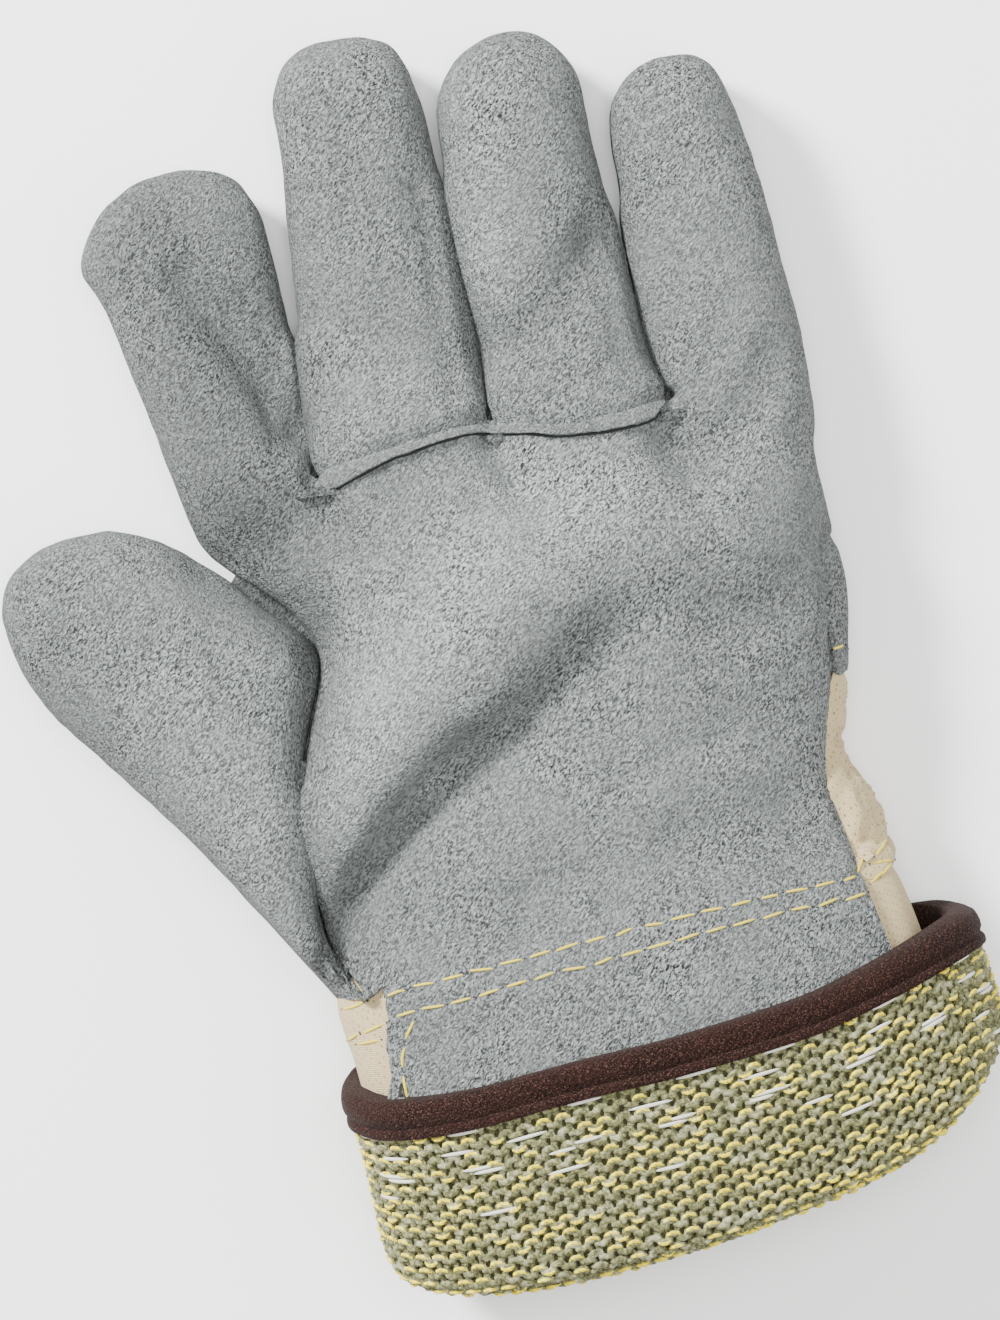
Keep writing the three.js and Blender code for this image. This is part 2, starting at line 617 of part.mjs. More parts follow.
// The thumb. Its lower sections share the seam with the hand, and the upper ones go all the way round it.
function thumbRow(section, hand) {
  const wristSide = cuffOval(0, wristGrow).left;
  const outer = new THREE.Vector2(wristSide - section.outerOut * thumbReach, section.outerUp * thumbLength);
  const free = section.innerOut !== undefined;
  const freePoint = () => new THREE.Vector3(
    wristSide - section.innerOut * thumbReach,
    section.innerUp * thumbLength,
    thumbSeamHeight,
  );
  const frontSeam = free ? freePoint() : hand.front[0];
  const backSeam = free ? frontSeam : hand.back[hand.back.length - 1];
  const place = (seam, share, height) => {
    const plan = outer.clone().lerp(new THREE.Vector2(seam.x, seam.y), share);
    return new THREE.Vector3(plan.x, plan.y, height);
  };
  const top = section.top * thumbDepth;
  const front = [];
  for (let j = 0; j <= frontColumns; j += 1) {
    const share = columnShare(j, frontColumns, fingerRoundness);
    const base = lerp(thumbSeamHeight, frontSeam.z, share);
    front.push(place(frontSeam, share, lerp(base, top, roundOff(share, fingerRoundness))));
  }
  const floor = section.floor * thumbDepth;
  const back = [];
  for (let k = 0; k <= backColumns; k += 1) {
    const share = 1 - columnShare(k, backColumns, fingerRoundness);
    const base = lerp(thumbSeamHeight, backSeam.z, share);
    back.push(place(backSeam, share, lerp(base, floor, roundOff(share, floorRoundness))));
  }
  front[frontColumns] = frontSeam;
  back[0] = backSeam;
  back[backColumns] = front[0];
  return { front, back };
}

// The thumb's base is spread round the side of the cuff, between its seams with the palm and with the back.
function thumbBase() {
  const wrist = handRows[0];
  const oval = cuffOval(0, wristGrow);
  const round = (across, columns, side) => {
    const share = (across - oval.left) / (oval.right - oval.left);
    const roundness = side < 0 ? cuffFloorRoundness : cuffRoundness;
    const seamAngle = Math.acos(signedPower(2 * share - 1, roundness / 2));
    const row = [];
    for (let j = 0; j <= columns; j += 1) {
      row.push(ovalPoint(oval, side * lerp(Math.PI, seamAngle, j / columns), 0));
    }
    return row;
  };
  const front = round(wrist.front[0].x, frontColumns, 1);
  const back = round(wrist.back[wrist.back.length - 1].x, backColumns, -1).reverse();
  front[frontColumns] = wrist.front[0];
  back[0] = wrist.back[wrist.back.length - 1];
  back[backColumns] = front[0];
  return { front, back };
}

const thumbRows = [thumbBase(), ...thumbSections.map((section, i) => thumbRow(section, handRows[i + 1]))];
const thumbEnd = new THREE.Vector3(
  cuffOval(0, wristGrow).left - thumbTip.out * thumbReach,
  thumbTip.up * thumbLength,
  thumbSeamHeight,
);
thumbRows.push({
  front: Array(frontColumns + 1).fill(thumbEnd),
  back: Array(backColumns + 1).fill(thumbEnd),
});
for (let row = 0; row < thumbRows.length - 1; row += 1) {
  joinRows(thumbRows[row].front, thumbRows[row + 1].front, () => "thumb_front");
  joinRows(thumbRows[row].back, thumbRows[row + 1].back, () => "thumb_back");
}

// The normals of the whole skin, so that neighbouring pieces meet on a common plane.
function faceNormal(corners) {
  const [a, b, c, d] = corners.map((corner) => skin.points[corner]);
  const first = c.clone().sub(a);
  const second = (d ?? c).clone().sub(b);
  return d ? first.cross(second) : b.clone().sub(a).cross(first);
}

const skinNormals = skin.points.map(() => new THREE.Vector3());
for (const { corners } of skin.faces) {
  const normal = faceNormal(corners);
  for (const corner of corners) skinNormals[corner].add(normal);
}
for (const normal of skinNormals) normal.normalize();

// At the thumb's crotch the skin turns back on itself. Its normal is set to point out between the thumb and
// the hand, and is shorter, because the leather is skived thinner there.
const crotchSkive = 0.6;
const thumbCrotch = handRows[fullPalmRow].front[0];
const besideCrotch = [handRows[fullPalmRow + 1].front[0], thumbRows[fullPalmRow + 1].back[0]];
skinNormals[pointIndex(thumbCrotch)] = besideCrotch
  .map((point) => point.clone().sub(thumbCrotch).normalize())
  .reduce((sum, way) => sum.add(way))
  .setLength(crotchSkive);

function closedGeometry(points, triangles) {
  const geometry = new THREE.BufferGeometry();
  const places = points.flatMap((point) => point.toArray());
  geometry.setAttribute("position", new THREE.Float32BufferAttribute(places, 3));
  geometry.setIndex(triangles.flat());
  geometry.computeVertexNormals();
  return geometry;
}

// A corner's two edges are drawn in by the same distance, which moves a sharp corner further. This limits
// how far.
const sharpestCorner = 0.5;

// A piece of the skin as a wall: its outside drawn in at its seams, its inside a wall's thickness below,
// and a rim, whose faces are split the same way on both sides of a seam.
function skinPiece(name, wall) {
  const faces = skin.faces.filter((face) => face.piece === name);
  const used = [...new Set(faces.flatMap((face) => face.corners))];
  const place = new Map(used.map((corner, i) => [corner, i]));
  const edges = new Map();
  for (const { corners } of faces) {
    corners.forEach((start, k) => edges.set(`${start} ${corners[(k + 1) % corners.length]}`, corners));
  }
  const rim = [...edges.keys()].map((edge) => edge.split(" ").map(Number));
  const open = rim.filter(([start, end]) => !edges.has(`${end} ${start}`));
  const inward = new Map();
  for (const [start, end] of open) {
    const along = skin.points[end].clone().sub(skin.points[start]).normalize();
    for (const corner of [start, end]) {
      const drawn = inward.get(corner) ?? new THREE.Vector3();
      inward.set(corner, drawn.add(skinNormals[corner].clone().cross(along).normalize()));
    }
  }
  const outside = used.map((corner) => {
    const point = skin.points[corner].clone();
    const drawn = inward.get(corner);
    if (drawn) point.addScaledVector(drawn, seamGap / Math.max(drawn.lengthSq(), sharpestCorner));
    return point;
  });
  const inside = used.map((corner, i) => outside[i].clone().addScaledVector(skinNormals[corner], -wall));
  const count = used.length;
  const triangles = [];
  for (const { corners } of faces) {
    const [a, b, c, d] = corners.map((corner) => place.get(corner));
    const split = d === undefined ? [[a, b, c]] : [[a, b, c], [a, c, d]];
    for (const [p, q, r] of split) triangles.push([p, q, r], [p + count, r + count, q + count]);
  }
  for (const edge of open) {
    const [start, end] = edge.map((corner) => place.get(corner));
    if (edge[0] < edge[1]) triangles.push([start, start + count, end + count], [start, end + count, end]);
    else triangles.push([start, start + count, end], [start + count, end + count, end]);
  }
  return closedGeometry([...outside, ...inside], triangles);
}

// The cuff's layers are one closed profile each, carried round the cuff. A profile's point has a place down
// the cuff and a distance out from the canvas's outer face.
function cuffTurn(angle) {
  const turn = (name) => tableValue(cuffTurns, "angle", radToDeg(angle), name);
  return {
    fold: turn("fold") * cuffLength,
    hem: turn("hem") * cuffLength,
    standOff: turn("standOff") * bindingWidth,
  };
}

// One face of a layer, from its upper end inside the glove, down, round the fold and up to the hem. depth
// is the layer's distance from the canvas's outer face, into the cuff.
function layerLine(turn, depth) {
  const radius = turn.standOff / 2 + depth;
  const centreOut = turn.standOff / 2;
  const bottom = turn.fold - turn.standOff / 2 - turnedThickness;
  const line = [{ down: -wristTuck, out: -depth - wristTuck }];
  for (const share of legRows.cuff) line.push({ down: lerp(-wristTuck, bottom, share), out: -depth });
  for (let step = 0; step <= foldSteps; step += 1) {
    const angle = (step / foldSteps) * Math.PI;
    line.push({ down: bottom + radius * Math.sin(angle), out: centreOut - radius * Math.cos(angle) });
  }
  for (const share of legRows.turnedBack) {
    line.push({ down: lerp(turn.hem, bottom, share), out: turn.standOff + depth });
  }
  return line;
}

function layerProfile(turn, depth, wall) {
  return [...layerLine(turn, depth), ...layerLine(turn, depth + wall).reverse()];
}

// The binding's profile: a tape folded over the hem, the same width on both faces.
function bindingProfile(turn) {
  const inner = turn.standOff - layerGap;
  const outer = turn.standOff + turnedThickness + layerGap;
  const middle = (inner + outer) / 2;
  const end = turn.hem + bindingWidth;
  const crown = turn.hem - layerGap;
  return [
    { down: end, out: outer },
    { down: crown, out: outer },
    { down: crown, out: inner },
    { down: end, out: inner },
    { down: end, out: inner - tapeWall },
    { down: crown, out: inner - tapeWall },
    { down: crown - tapeWall, out: inner },
    { down: crown - tapeWall * tapeCrown, out: middle },
    { down: crown - tapeWall, out: outer },
    { down: crown, out: outer + tapeWall },
    { down: end, out: outer + tapeWall },
  ];
}

function sweepRound(profileAt) {
  const points = [];
  const triangles = [];
  let width = 0;
  for (let i = 0; i < cuffColumns; i += 1) {
    const angle = (i / cuffColumns) * 2 * Math.PI;
    const profile = profileAt(cuffTurn(angle));
    width = profile.length;
    for (const { down, out } of profile) points.push(ovalPoint(cuffOval(down, out), angle, -down));
  }
  for (let i = 0; i < cuffColumns; i += 1) {
    const next = (i + 1) % cuffColumns;
    for (let k = 0; k < width; k += 1) {
      const [a, b] = [i * width + k, i * width + ((k + 1) % width)];
      const [c, d] = [next * width + ((k + 1) % width), next * width + k];
      triangles.push([a, c, b], [a, d, c]);
    }
  }
  return closedGeometry(points, triangles);
}

// The raised seam: a strip lying on the skin along the bases of the middle and ring fingers, with a section
// at each of the skin's columns.
function weltGeometry() {
  const lower = handRows[handRows.length - 2].front;
  const line = [1, 2].flatMap((i) => {
    const { front, first, last } = bases[i];
    const span = front.map((point, j) => ({ point, up: fingerRows[i][1].front[j] }));
    return span.slice(i === 1 ? first : first + 1, last + 1);
  });
  const points = [];
  line.forEach(({ point, up }, j) => {
    const along = (point.x - fingers[1].left) / (fingers[2].right - fingers[1].left);
    const half = (tableValue(weltSections, "along", along, "width") * weltWidth) / 2;
    const height = tableValue(weltSections, "along", along, "height") * weltWall;
    const normal = skinNormals[pointIndex(point)];
    const palmward = lower[bases[0].last + j].clone().sub(point).normalize();
    const fingerward = up.clone().sub(point).normalize();
    const seat = point.clone().addScaledVector(normal, weltLift);
    const palmSide = seat.clone().addScaledVector(palmward, half);
    const fingerSide = seat.clone().addScaledVector(fingerward, half);
    const raised = (corner) => corner.clone().addScaledVector(normal, height);
    points.push(palmSide, seat, fingerSide, raised(fingerSide), raised(seat), raised(palmSide));
  });
  const width = points.length / line.length;
  const triangles = [];
  for (let i = 0; i < line.length - 1; i += 1) {
    for (let k = 0; k < width; k += 1) {
      const [a, b] = [i * width + k, i * width + ((k + 1) % width)];
      triangles.push([a, b, b + width], [a, b + width, a + width]);
    }
  }
  const end = points.length - width;
  for (const [a, b, c, d] of [[0, 1, 4, 5], [1, 2, 3, 4]]) {
    triangles.push([a, c, b], [a, d, c], [a + end, b + end, c + end], [a + end, c + end, d + end]);
  }
  return closedGeometry(points, triangles);
}

const group = new THREE.Group();
const centred = new THREE.Group();
group.add(centred);

function addNode(name, geometry, finish) {
  const mesh = new THREE.Mesh(geometry, new THREE.MeshStandardMaterial(finish));
  mesh.name = name;
  centred.add(mesh);
}

const leatherPieces = [
  "palm_leather", "middle_finger_front", "ring_finger_front", "thumb_front", "thumb_back",
  "index_finger_back", "middle_finger_back", "ring_finger_back", "little_finger_back", "knuckle_strap",
];
for (const name of leatherPieces) addNode(name, skinPiece(name, leatherWall), finishes.leather);
addNode("back_canvas", skinPiece("back_canvas", canvasWall), finishes.canvas);

const canvasProfile = (turn) => layerProfile(turn, 0, canvasWall);
const liningProfile = (turn) => layerProfile(turn, canvasWall + layerGap, knitWall);
addNode("cuff_canvas", sweepRound(canvasProfile), finishes.canvas);
addNode("cuff_lining", sweepRound(liningProfile), finishes.knit);
addNode("cuff_binding", sweepRound(bindingProfile), finishes.binding);
addNode("finger_base_welt", weltGeometry(), finishes.leather);

// The origin goes on the floor under the middle of the glove.
const box = new THREE.Box3().setFromObject(centred);
const middle = box.getCenter(new THREE.Vector3());
centred.position.set(-middle.x, -middle.y, -box.min.z);

export default group;
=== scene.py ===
"""Looks of a rigger glove: split leather, canvas, a knitted lining turned back at the cuff, and its stitching.

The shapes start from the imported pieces. Each leather or canvas piece is its outer face, smoothed, creased and given
its thickness again. The knit is real yarn, course by course, over the lining.
"""

import json
import math
from collections import namedtuple

import bmesh
import bpy
import numpy as np
from bpy.props import FloatProperty, FloatVectorProperty, IntProperty, PointerProperty
from mathutils import Matrix, Vector
from mathutils.bvhtree import BVHTree
from mathutils.kdtree import KDTree

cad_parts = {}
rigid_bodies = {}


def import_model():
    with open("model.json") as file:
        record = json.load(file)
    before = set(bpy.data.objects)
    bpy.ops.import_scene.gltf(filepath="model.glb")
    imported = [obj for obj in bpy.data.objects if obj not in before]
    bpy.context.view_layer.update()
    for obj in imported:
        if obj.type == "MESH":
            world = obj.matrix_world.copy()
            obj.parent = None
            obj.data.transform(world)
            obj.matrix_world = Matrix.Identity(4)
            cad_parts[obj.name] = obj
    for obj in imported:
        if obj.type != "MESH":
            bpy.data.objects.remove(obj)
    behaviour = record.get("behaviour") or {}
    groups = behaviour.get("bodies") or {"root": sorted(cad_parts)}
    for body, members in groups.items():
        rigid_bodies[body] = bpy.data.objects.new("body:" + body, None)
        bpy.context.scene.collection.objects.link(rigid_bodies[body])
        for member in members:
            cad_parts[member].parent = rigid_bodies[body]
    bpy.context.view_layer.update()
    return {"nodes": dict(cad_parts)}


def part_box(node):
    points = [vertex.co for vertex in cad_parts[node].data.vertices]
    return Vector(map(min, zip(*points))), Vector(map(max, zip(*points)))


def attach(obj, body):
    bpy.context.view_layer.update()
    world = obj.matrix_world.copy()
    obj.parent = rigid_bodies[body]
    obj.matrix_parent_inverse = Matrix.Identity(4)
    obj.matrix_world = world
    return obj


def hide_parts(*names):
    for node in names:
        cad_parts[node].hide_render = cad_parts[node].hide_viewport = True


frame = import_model()

bl_info = {
    "name": "Rigger Glove Looks",
    "version": (1, 0, 0),
    "blender": (4, 5, 0),
    "location": "3D View > Sidebar > Glove",
    "description": "Builds the leather, canvas, knit, binding and stitches of a rigger glove over its packed solids",
    "category": "Object",
}

MM = 0.001
CANVAS_WALL = 1.0

# How much fuller the fingers' sides are where they touch, and how far the hem is lifted, in mm.
FINGER_FULLNESS = 1.45
HEM_LIFT = 2.9

# A vertex nearer to the rim than this, in mm, is one of the rim's own.
ON_RIM = 1e-6

# Where rays that look for the glove's surface start, in mm: above it, under it and to its right.
ABOVE, BELOW, BESIDE = 120, -60, 160
UP, DOWN, LEFT = (0, 0, 1), (0, 0, -1), (-1, 0, 0)

# The middle of the knuckles across, and the wrist seam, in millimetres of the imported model. The tables below count
# across and up from here.
HAND_ORIGIN = np.array([17.72, -68.2])

LEATHER_PIECES = (
    "palm_leather",
    "middle_finger_front",
    "ring_finger_front",
    "thumb_front",
    "thumb_back",
    "index_finger_back",
    "middle_finger_back",
    "ring_finger_back",
    "little_finger_back",
    "knuckle_strap",
)

# A soft-edged patch along a line of places across and up. Its spread is its half width in mm.
Patch = namedtuple("Patch", "name amount spread line")

# A fold that is steep on one side only: it rises to its height on the left of its line and sinks back slowly.
Swell = namedtuple("Swell", "name height rise reach line")

# Soft folds of the leather: the amount is the fold's height in mm.
LEATHER_FOLDS = (
    Patch("old valley", 2.4, 9, ((-14, 56), (-2, 66), (8, 74))),
    Patch("below the valley", 1.5, 7, ((-4, 47), (12, 52), (28, 60))),
    Patch("valley", -1.4, 4.5, ((-56, 15), (-48, 24), (-36, 36), (-24, 44), (-10, 50))),
    Patch("valley foot", -1.8, 4, ((-61, 8), (-55, 17), (-47, 26), (-38, 34))),
    Patch("thumb crease", -2.2, 5, ((-50, 84), (-49.5, 71), (-53, 61), (-58, 49))),
    Patch("heel wave", -0.7, 4, ((-6, 31), (15, 32), (34, 36))),
    Patch("heel crease", -0.8, 4, ((-36, 22), (-24, 30), (-10, 34))),
    Patch("heel shadow", -1.2, 6, ((20, 18), (44, 18), (56, 24))),
    Patch("heel swell", 1.0, 8, ((-40, 10), (-20, 18), (14, 24))),
    Patch("little side hollow", -1.8, 8, ((58, 66), (45, 62), (34, 62))),
    Patch("little side swell", 1.4, 9, ((58, 84), (42, 82), (28, 86))),
    Patch("index crease", -2.6, 4.5, ((-60, 163), (-53, 149), (-48, 138), (-44, 124))),
    Patch("index bump", 0.9, 7, ((-68, 150), (-62, 132), (-58, 118))),
    Patch("index slope", -1.6, 7, ((-66, 98), (-56, 99), (-46, 104))),
    Patch("ring hollow", -3.0, 6, ((9, 134), (19, 139), (28, 147), (33, 152))),
    Patch("ring base swell", 1.2, 8, ((6, 124), (20, 124))),
    Patch("ring side swell", 1.0, 6, ((6, 150), (6, 140))),
    Patch("middle base swell", 1.0, 8, ((-30, 124), (-14, 122))),
    Patch("middle side", -0.9, 5, ((-4, 170), (-1, 150), (0, 135))),
    Patch("little base", -1.7, 5, ((36, 102), (44, 99), (54, 105), (64, 117))),
    Patch("little base swell", 0.9, 5, ((50, 93), (62, 104))),
    Patch("thumb hollow", -1.0, 9, ((-100, 84), (-92, 74), (-84, 66))),
    Patch("under the welt", -0.6, 3, ((-39, 107), (-18, 111), (0, 111), (18, 107), (37, 108))),
)

LEATHER_SWELLS = (
    Swell(
        "mound", 3.7, 6.5, 24,
        ((-58, 16), (-50, 25), (-40, 35.5), (-28, 45), (-14, 52), (2, 58), (14, 64), (26, 71)),
    ),
    Swell("knuckle roll", 0.9, 6, 10, ((-30, 84), (-10, 96), (10, 100), (30, 98))),
)

# Painted light and shade over the folds, partly the nap's own tone: the leather is painted lighter on the mound and
# darker in the valley, the creases, the hollows and on the index finger. The amount is how much lighter it is there.
PAINTED_SHADE_AND_TONE = (
    Patch("index", -0.27, 16, ((-65, 176), (-62, 158), (-59, 134), (-58, 114))),
    Patch("index base", -0.17, 9, ((-62, 106), (-53, 98), (-49, 88))),
    Patch("index side", -0.12, 6, ((-46, 155), (-45, 134))),
    Patch("palm top", -0.08, 7, ((-28, 110), (-36, 102))),
    Patch("mound", 0.34, 14, ((-46, 44), (-38, 62), (-21, 80), (-4, 91), (16, 96))),
    Patch("valley foot", -0.24, 5, ((-60, 10), (-58, 16), (-50, 26), (-39, 36))),
    Patch("valley", -0.03, 4, ((-39, 36), (-25, 47), (-6, 53))),
    Patch("thumb crease", -0.26, 5, ((-50, 80), (-51, 68), (-57, 50), (-62, 36), (-63, 18))),
    Patch("thumb tip", -0.1, 9, ((-107, 107), (-110, 90), (-105, 72))),
    Patch("thumb middle", 0.13, 9, ((-84, 76), (-74, 56), (-70, 38))),
    Patch("middle", -0.08, 9, ((-20, 190), (-20, 150))),
    Patch("middle base", 0.16, 9, ((-28, 124), (-13, 126))),
    Patch("ring left", 0.16, 8, ((11, 186), (8, 150))),
    Patch("ring hollow", -0.2, 5, ((11, 135), (20, 139), (29, 148))),
    Patch("little", 0.05, 9, ((58, 166), (59, 134))),
    Patch("little base", -0.12, 5, ((40, 100), (53, 106), (64, 118))),
    Patch("little side", -0.18, 8, ((40, 65), (58, 64))),
    Patch("palm right", 0.12, 7, ((39, 86), (63, 100))),
    Patch("heel left", -0.06, 8, ((-41, 16), (-26, 7))),
    Patch("heel", 0.1, 9, ((-8, 35), (27, 33))),
    Patch("heel right", -0.1, 7, ((29, 18), (50, 19))),
)

# Rows of stitches seen from the palm side: places across and up, in mm.
PALM_STITCHES = (
    # the upper row across the wrist, on the canvas and then on the leather
    ((-61.5, -3.4), (-58.5, -3.3), (-54.0, -2.0)),
    ((-51.7, -2.9), (-48, -1.7), (-38, -1.5), (-20, -0.8), (0, -0.2), (20, 0.3), (44, 0.1), (56, -0.2)),
    # the lower row across the wrist, and the left side of the strip over the cuff
    ((-50.6, -7.3), (-46.8, -6.9), (-33, -6.8), (-20, -5.6), (-3, -5.3), (20, -4.1), (43, -3.8), (58, -4.4)),
    ((-46.4, -8.6), (-49.0, -12.2), (-50.8, -16.1), (-51.8, -20.5), (-51.6, -27)),
    # loose ends on the canvas at the left
    ((-58.4, -9.6), (-52.6, -8.0)),
    ((-62.3, -10.8), (-59.4, -9.2)),
    ((-60.2, -11.7), (-55.0, -11.6)),
    # zigzags over the elastic at the right
    ((65.3, 5.9), (61.0, 3.0)),
    ((65.2, 1.2), (56.6, 1.9)),
    ((64.8, 0.8), (61.0, -1.4)),
    ((62.0, -0.6), (58.6, -2.4)),
    ((55.9, 0.8), (58.9, 3.5)),
)

# Corners where seams meet: the leather is evened out round them.
SEAM_CORNERS = ((-49.5, 80.5), (-47.5, 75), (-54.3, 187.1), (-60, 1), (-46.5, -31), (-42.5, 112))

# The seam between the thumb and the palm, which lies closed in its crease.
THUMB_SEAM = (
    (-50, 86), (-49.6, 71), (-51.7, 65.6), (-55.9, 56), (-58.3, 50.7), (-60.4, 44.3), (-61.5, 37), (-61.5, 29),
    (-61.1, 21), (-60.4, 14), (-59.5, 7.7), (-58.2, 2.4), (-57.6, -1),
)

# The raw edge across the base of the two middle fingers: its lower and its upper edge.
WELT_LOW = (
    (-39.1, 109.2), (-33.6, 110.7), (-28.3, 112.2), (-23.1, 113.2), (-18.0, 113.8), (-12.8, 114.6), (-7.8, 114.9),
    (-3.8, 114.6), (1.7, 113.2), (8.3, 111.6), (14.8, 109.8), (20.6, 108.9), (28.4, 108.4), (34.4, 108.9),
    (38.6, 111.4),
)
WELT_HIGH = (
    (-41.7, 114.0), (-35.6, 114.9), (-27.6, 115.3), (-22.6, 115.7), (-17.5, 116.0), (-12.4, 116.3), (-7.3, 116.7),
    (-1.4, 116.5), (2.1, 115.0), (8.7, 113.4), (15.2, 111.9), (23.3, 112.0), (31.3, 112.3), (36.4, 112.9),
    (38.8, 113.1),
)

# The raw edge's profile: shares of the way from its upper to its lower edge, and heights over the leather.
WELT_PROFILE = (
    (0.0, 0.3), (0.2, 0.9), (0.5, 1.3), (0.8, 1.6), (0.97, 1.6), (1.04, 1.2), (1.02, 0.2), (0.9, -0.9), (0.5, -1.0),
    (0.1, -0.9),
)

# Where the fingers part: the lowest place of each parting, and the place up to which the two fingers touch.
PARTINGS = (
    ((-42.0, 114.0), (-38.5, 149.0)),
    ((-1.0, 117.0), (3.4, 178.0)),
    ((38.0, 113.0), (38.3, 163.0)),
    ((-49.0, 80.0), (-68.0, 98.5)),
)


def placed(places):
    """A place, or a line of places, of the tables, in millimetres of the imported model."""
    return np.array(places) + HAND_ORIGIN


def height_on_hand(points):
    """How far points lie above the wrist seam, towards the fingertips."""
    return points[:, 1] - HAND_ORIGIN[1]


def fade(value, start, end):
    """A smooth step from 0 at the start to 1 at the end."""
    share = np.clip((value - start) / (end - start), 0, 1)
    return share * share * (3 - 2 * share)


def lumps(points, size, seed):
    """Smooth noise from -1 to 1 at points in mm, with lumps of a size in mm."""
    scaled = points / size + seed * 7.31
    cell = np.floor(scaled).astype(np.int64)
    part = fade(scaled - cell, 0, 1)
    total = np.zeros(len(points))
    for corner in np.ndindex(2, 2, 2):
        key = cell + corner
        mixed = key[:, 0] * 73856093 ^ key[:, 1] * 19349663 ^ key[:, 2] * 83492791 ^ seed * 6542989
        mixed = (mixed ^ (mixed >> 13)) * 1274126177 & 0x7FFFFFFF
        weight = np.prod(np.where(corner, part, 1 - part), axis=1)
        total += weight * ((mixed % 10007) / 5003 - 1)
    return total


def only_select(obj):
    bpy.ops.object.select_all(action="DESELECT")
    obj.select_set(True)
    bpy.context.view_layer.objects.active = obj


def edit_mesh(obj, step, **options):
    """Runs one step of edit mode on all of a mesh."""
    only_select(obj)
    bpy.ops.object.mode_set(mode="EDIT")
    bpy.ops.mesh.select_all(action="SELECT")
    step(**options)
    bpy.ops.object.mode_set(mode="OBJECT")


def face_outwards(obj):
    edit_mesh(obj, bpy.ops.mesh.normals_make_consistent, inside=False)


def copy_of(node, name):
    """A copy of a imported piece, with its doubles merged."""
    mesh = frame["nodes"][node].data.copy()
    mesh.materials.clear()
    obj = bpy.data.objects.new(name, mesh)
    bpy.context.scene.collection.objects.link(obj)
    only_select(obj)
    bpy.ops.mesh.customdata_custom_splitnormals_clear()
    edit_mesh(obj, bpy.ops.mesh.remove_doubles, threshold=1e-5)
    return obj


def vertex_values(mesh, kind):
    flat = np.empty(len(mesh.vertices) * 3)
    mesh.vertices.foreach_get(kind, flat)
    return flat.reshape(-1, 3)


def vertices_of(mesh):
    """A mesh's vertices in mm."""
    return vertex_values(mesh, "co") / MM


def surface_of(obj):
    """An object's vertices in mm, and their normals."""
    return vertices_of(obj.data), vertex_values(obj.data, "normal")


def move_vertices(mesh, points):
    mesh.vertices.foreach_set("co", (points * MM).ravel())
    mesh.update()


def apply_modifier(obj, modifier):
    only_select(obj)
    bpy.ops.object.modifier_apply(modifier=modifier.name)


def shade(obj, degrees=60):
    only_select(obj)
    bpy.ops.object.shade_smooth_by_angle(angle=math.radians(degrees))


def keep_outer_face(obj, wall):
    """Leaves only the outer face of a wall. A rim face is one with an edge as long as the wall is thick."""
    thicknesses = (wall, 0.6 * wall)
    bm = bmesh.new()
    bm.from_mesh(obj.data)
    across = {e for e in bm.edges if min(abs(e.calc_length() / MM - t) for t in thicknesses) < 0.004}
    rim = [face for face in bm.faces if any(edge in across for edge in face.edges)]
    bmesh.ops.delete(bm, geom=rim, context="FACES")
    islands = []
    waiting = set(bm.faces)
    while waiting:
        island = [waiting.pop()]
        for face in island:
            for edge in face.edges:
                for other in edge.link_faces:
                    if other in waiting:
                        waiting.remove(other)
                        island.append(other)
        islands.append(island)
    islands.sort(key=lambda island: sum(face.calc_area() for face in island))
    if len(islands) < 2:
        raise RuntimeError(f"{obj.name}: its wall has no two faces to choose from")
    bmesh.ops.delete(bm, geom=[face for island in islands[:-1] for face in island], context="FACES")
    bm.to_mesh(obj.data)
    bm.free()


def subdivide(obj, levels):
    smooth = obj.modifiers.new("Smooth", "SUBSURF")
    smooth.levels = smooth.render_levels = levels
    return smooth


def smooth_sheet(obj, levels):
    """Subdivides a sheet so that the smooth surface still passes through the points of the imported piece."""
    limits = {"face_threshold": math.radians(70), "shape_threshold": math.radians(80)}
    edit_mesh(obj, bpy.ops.mesh.tris_convert_to_quads, **limits)
    aim = vertices_of(obj.data)
    control = aim.copy()
    smooth = subdivide(obj, levels)
    for _ in range(4):
        finished = obj.evaluated_get(bpy.context.evaluated_depsgraph_get()).to_mesh()
        control += 0.9 * (aim - vertices_of(finished)[: len(aim)])
        move_vertices(obj.data, control)
    apply_modifier(obj, smooth)


def tree_of(points, indices):
    """A search tree of some of the points."""
    tree = KDTree(len(indices))
    for index in indices:
        tree.insert(points[index], index)
    tree.balance()
    return tree


def rim_of(obj, points, normals):
    """For each vertex: how far off the sheet's rim is, which rim vertex is nearest, and the way out over it."""
    bm = bmesh.new()
    bm.from_mesh(obj.data)
    bm.verts.ensure_lookup_table()
    rim = [v.index for v in bm.verts if v.is_boundary]
    outwards = np.zeros_like(points)
    for index in rim:
        vert = bm.verts[index]
        inner = [e.other_vert(vert).index for e in vert.link_edges if not e.is_boundary]
        if inner:
            outwards[index] = points[index] - points[inner].mean(axis=0)
    bm.free()
    tree = tree_of(points, rim)
    found = [tree.find(point) for point in points]
    nearest = np.array([index for _, index, _ in found])
    distance = np.array([gap for _, _, gap in found])
    outwards -= normals * np.sum(outwards * normals, axis=1, keepdims=True)
    length = np.linalg.norm(outwards, axis=1, keepdims=True)
    outwards = np.divide(outwards, length, out=np.zeros_like(outwards), where=length > 0)
    mean = np.zeros_like(outwards)
    for index in rim:
        mean[index] = np.mean([outwards[other] for _, other, _ in tree.find_n(points[index], 9)], axis=0)
    return distance, nearest, mean[nearest]


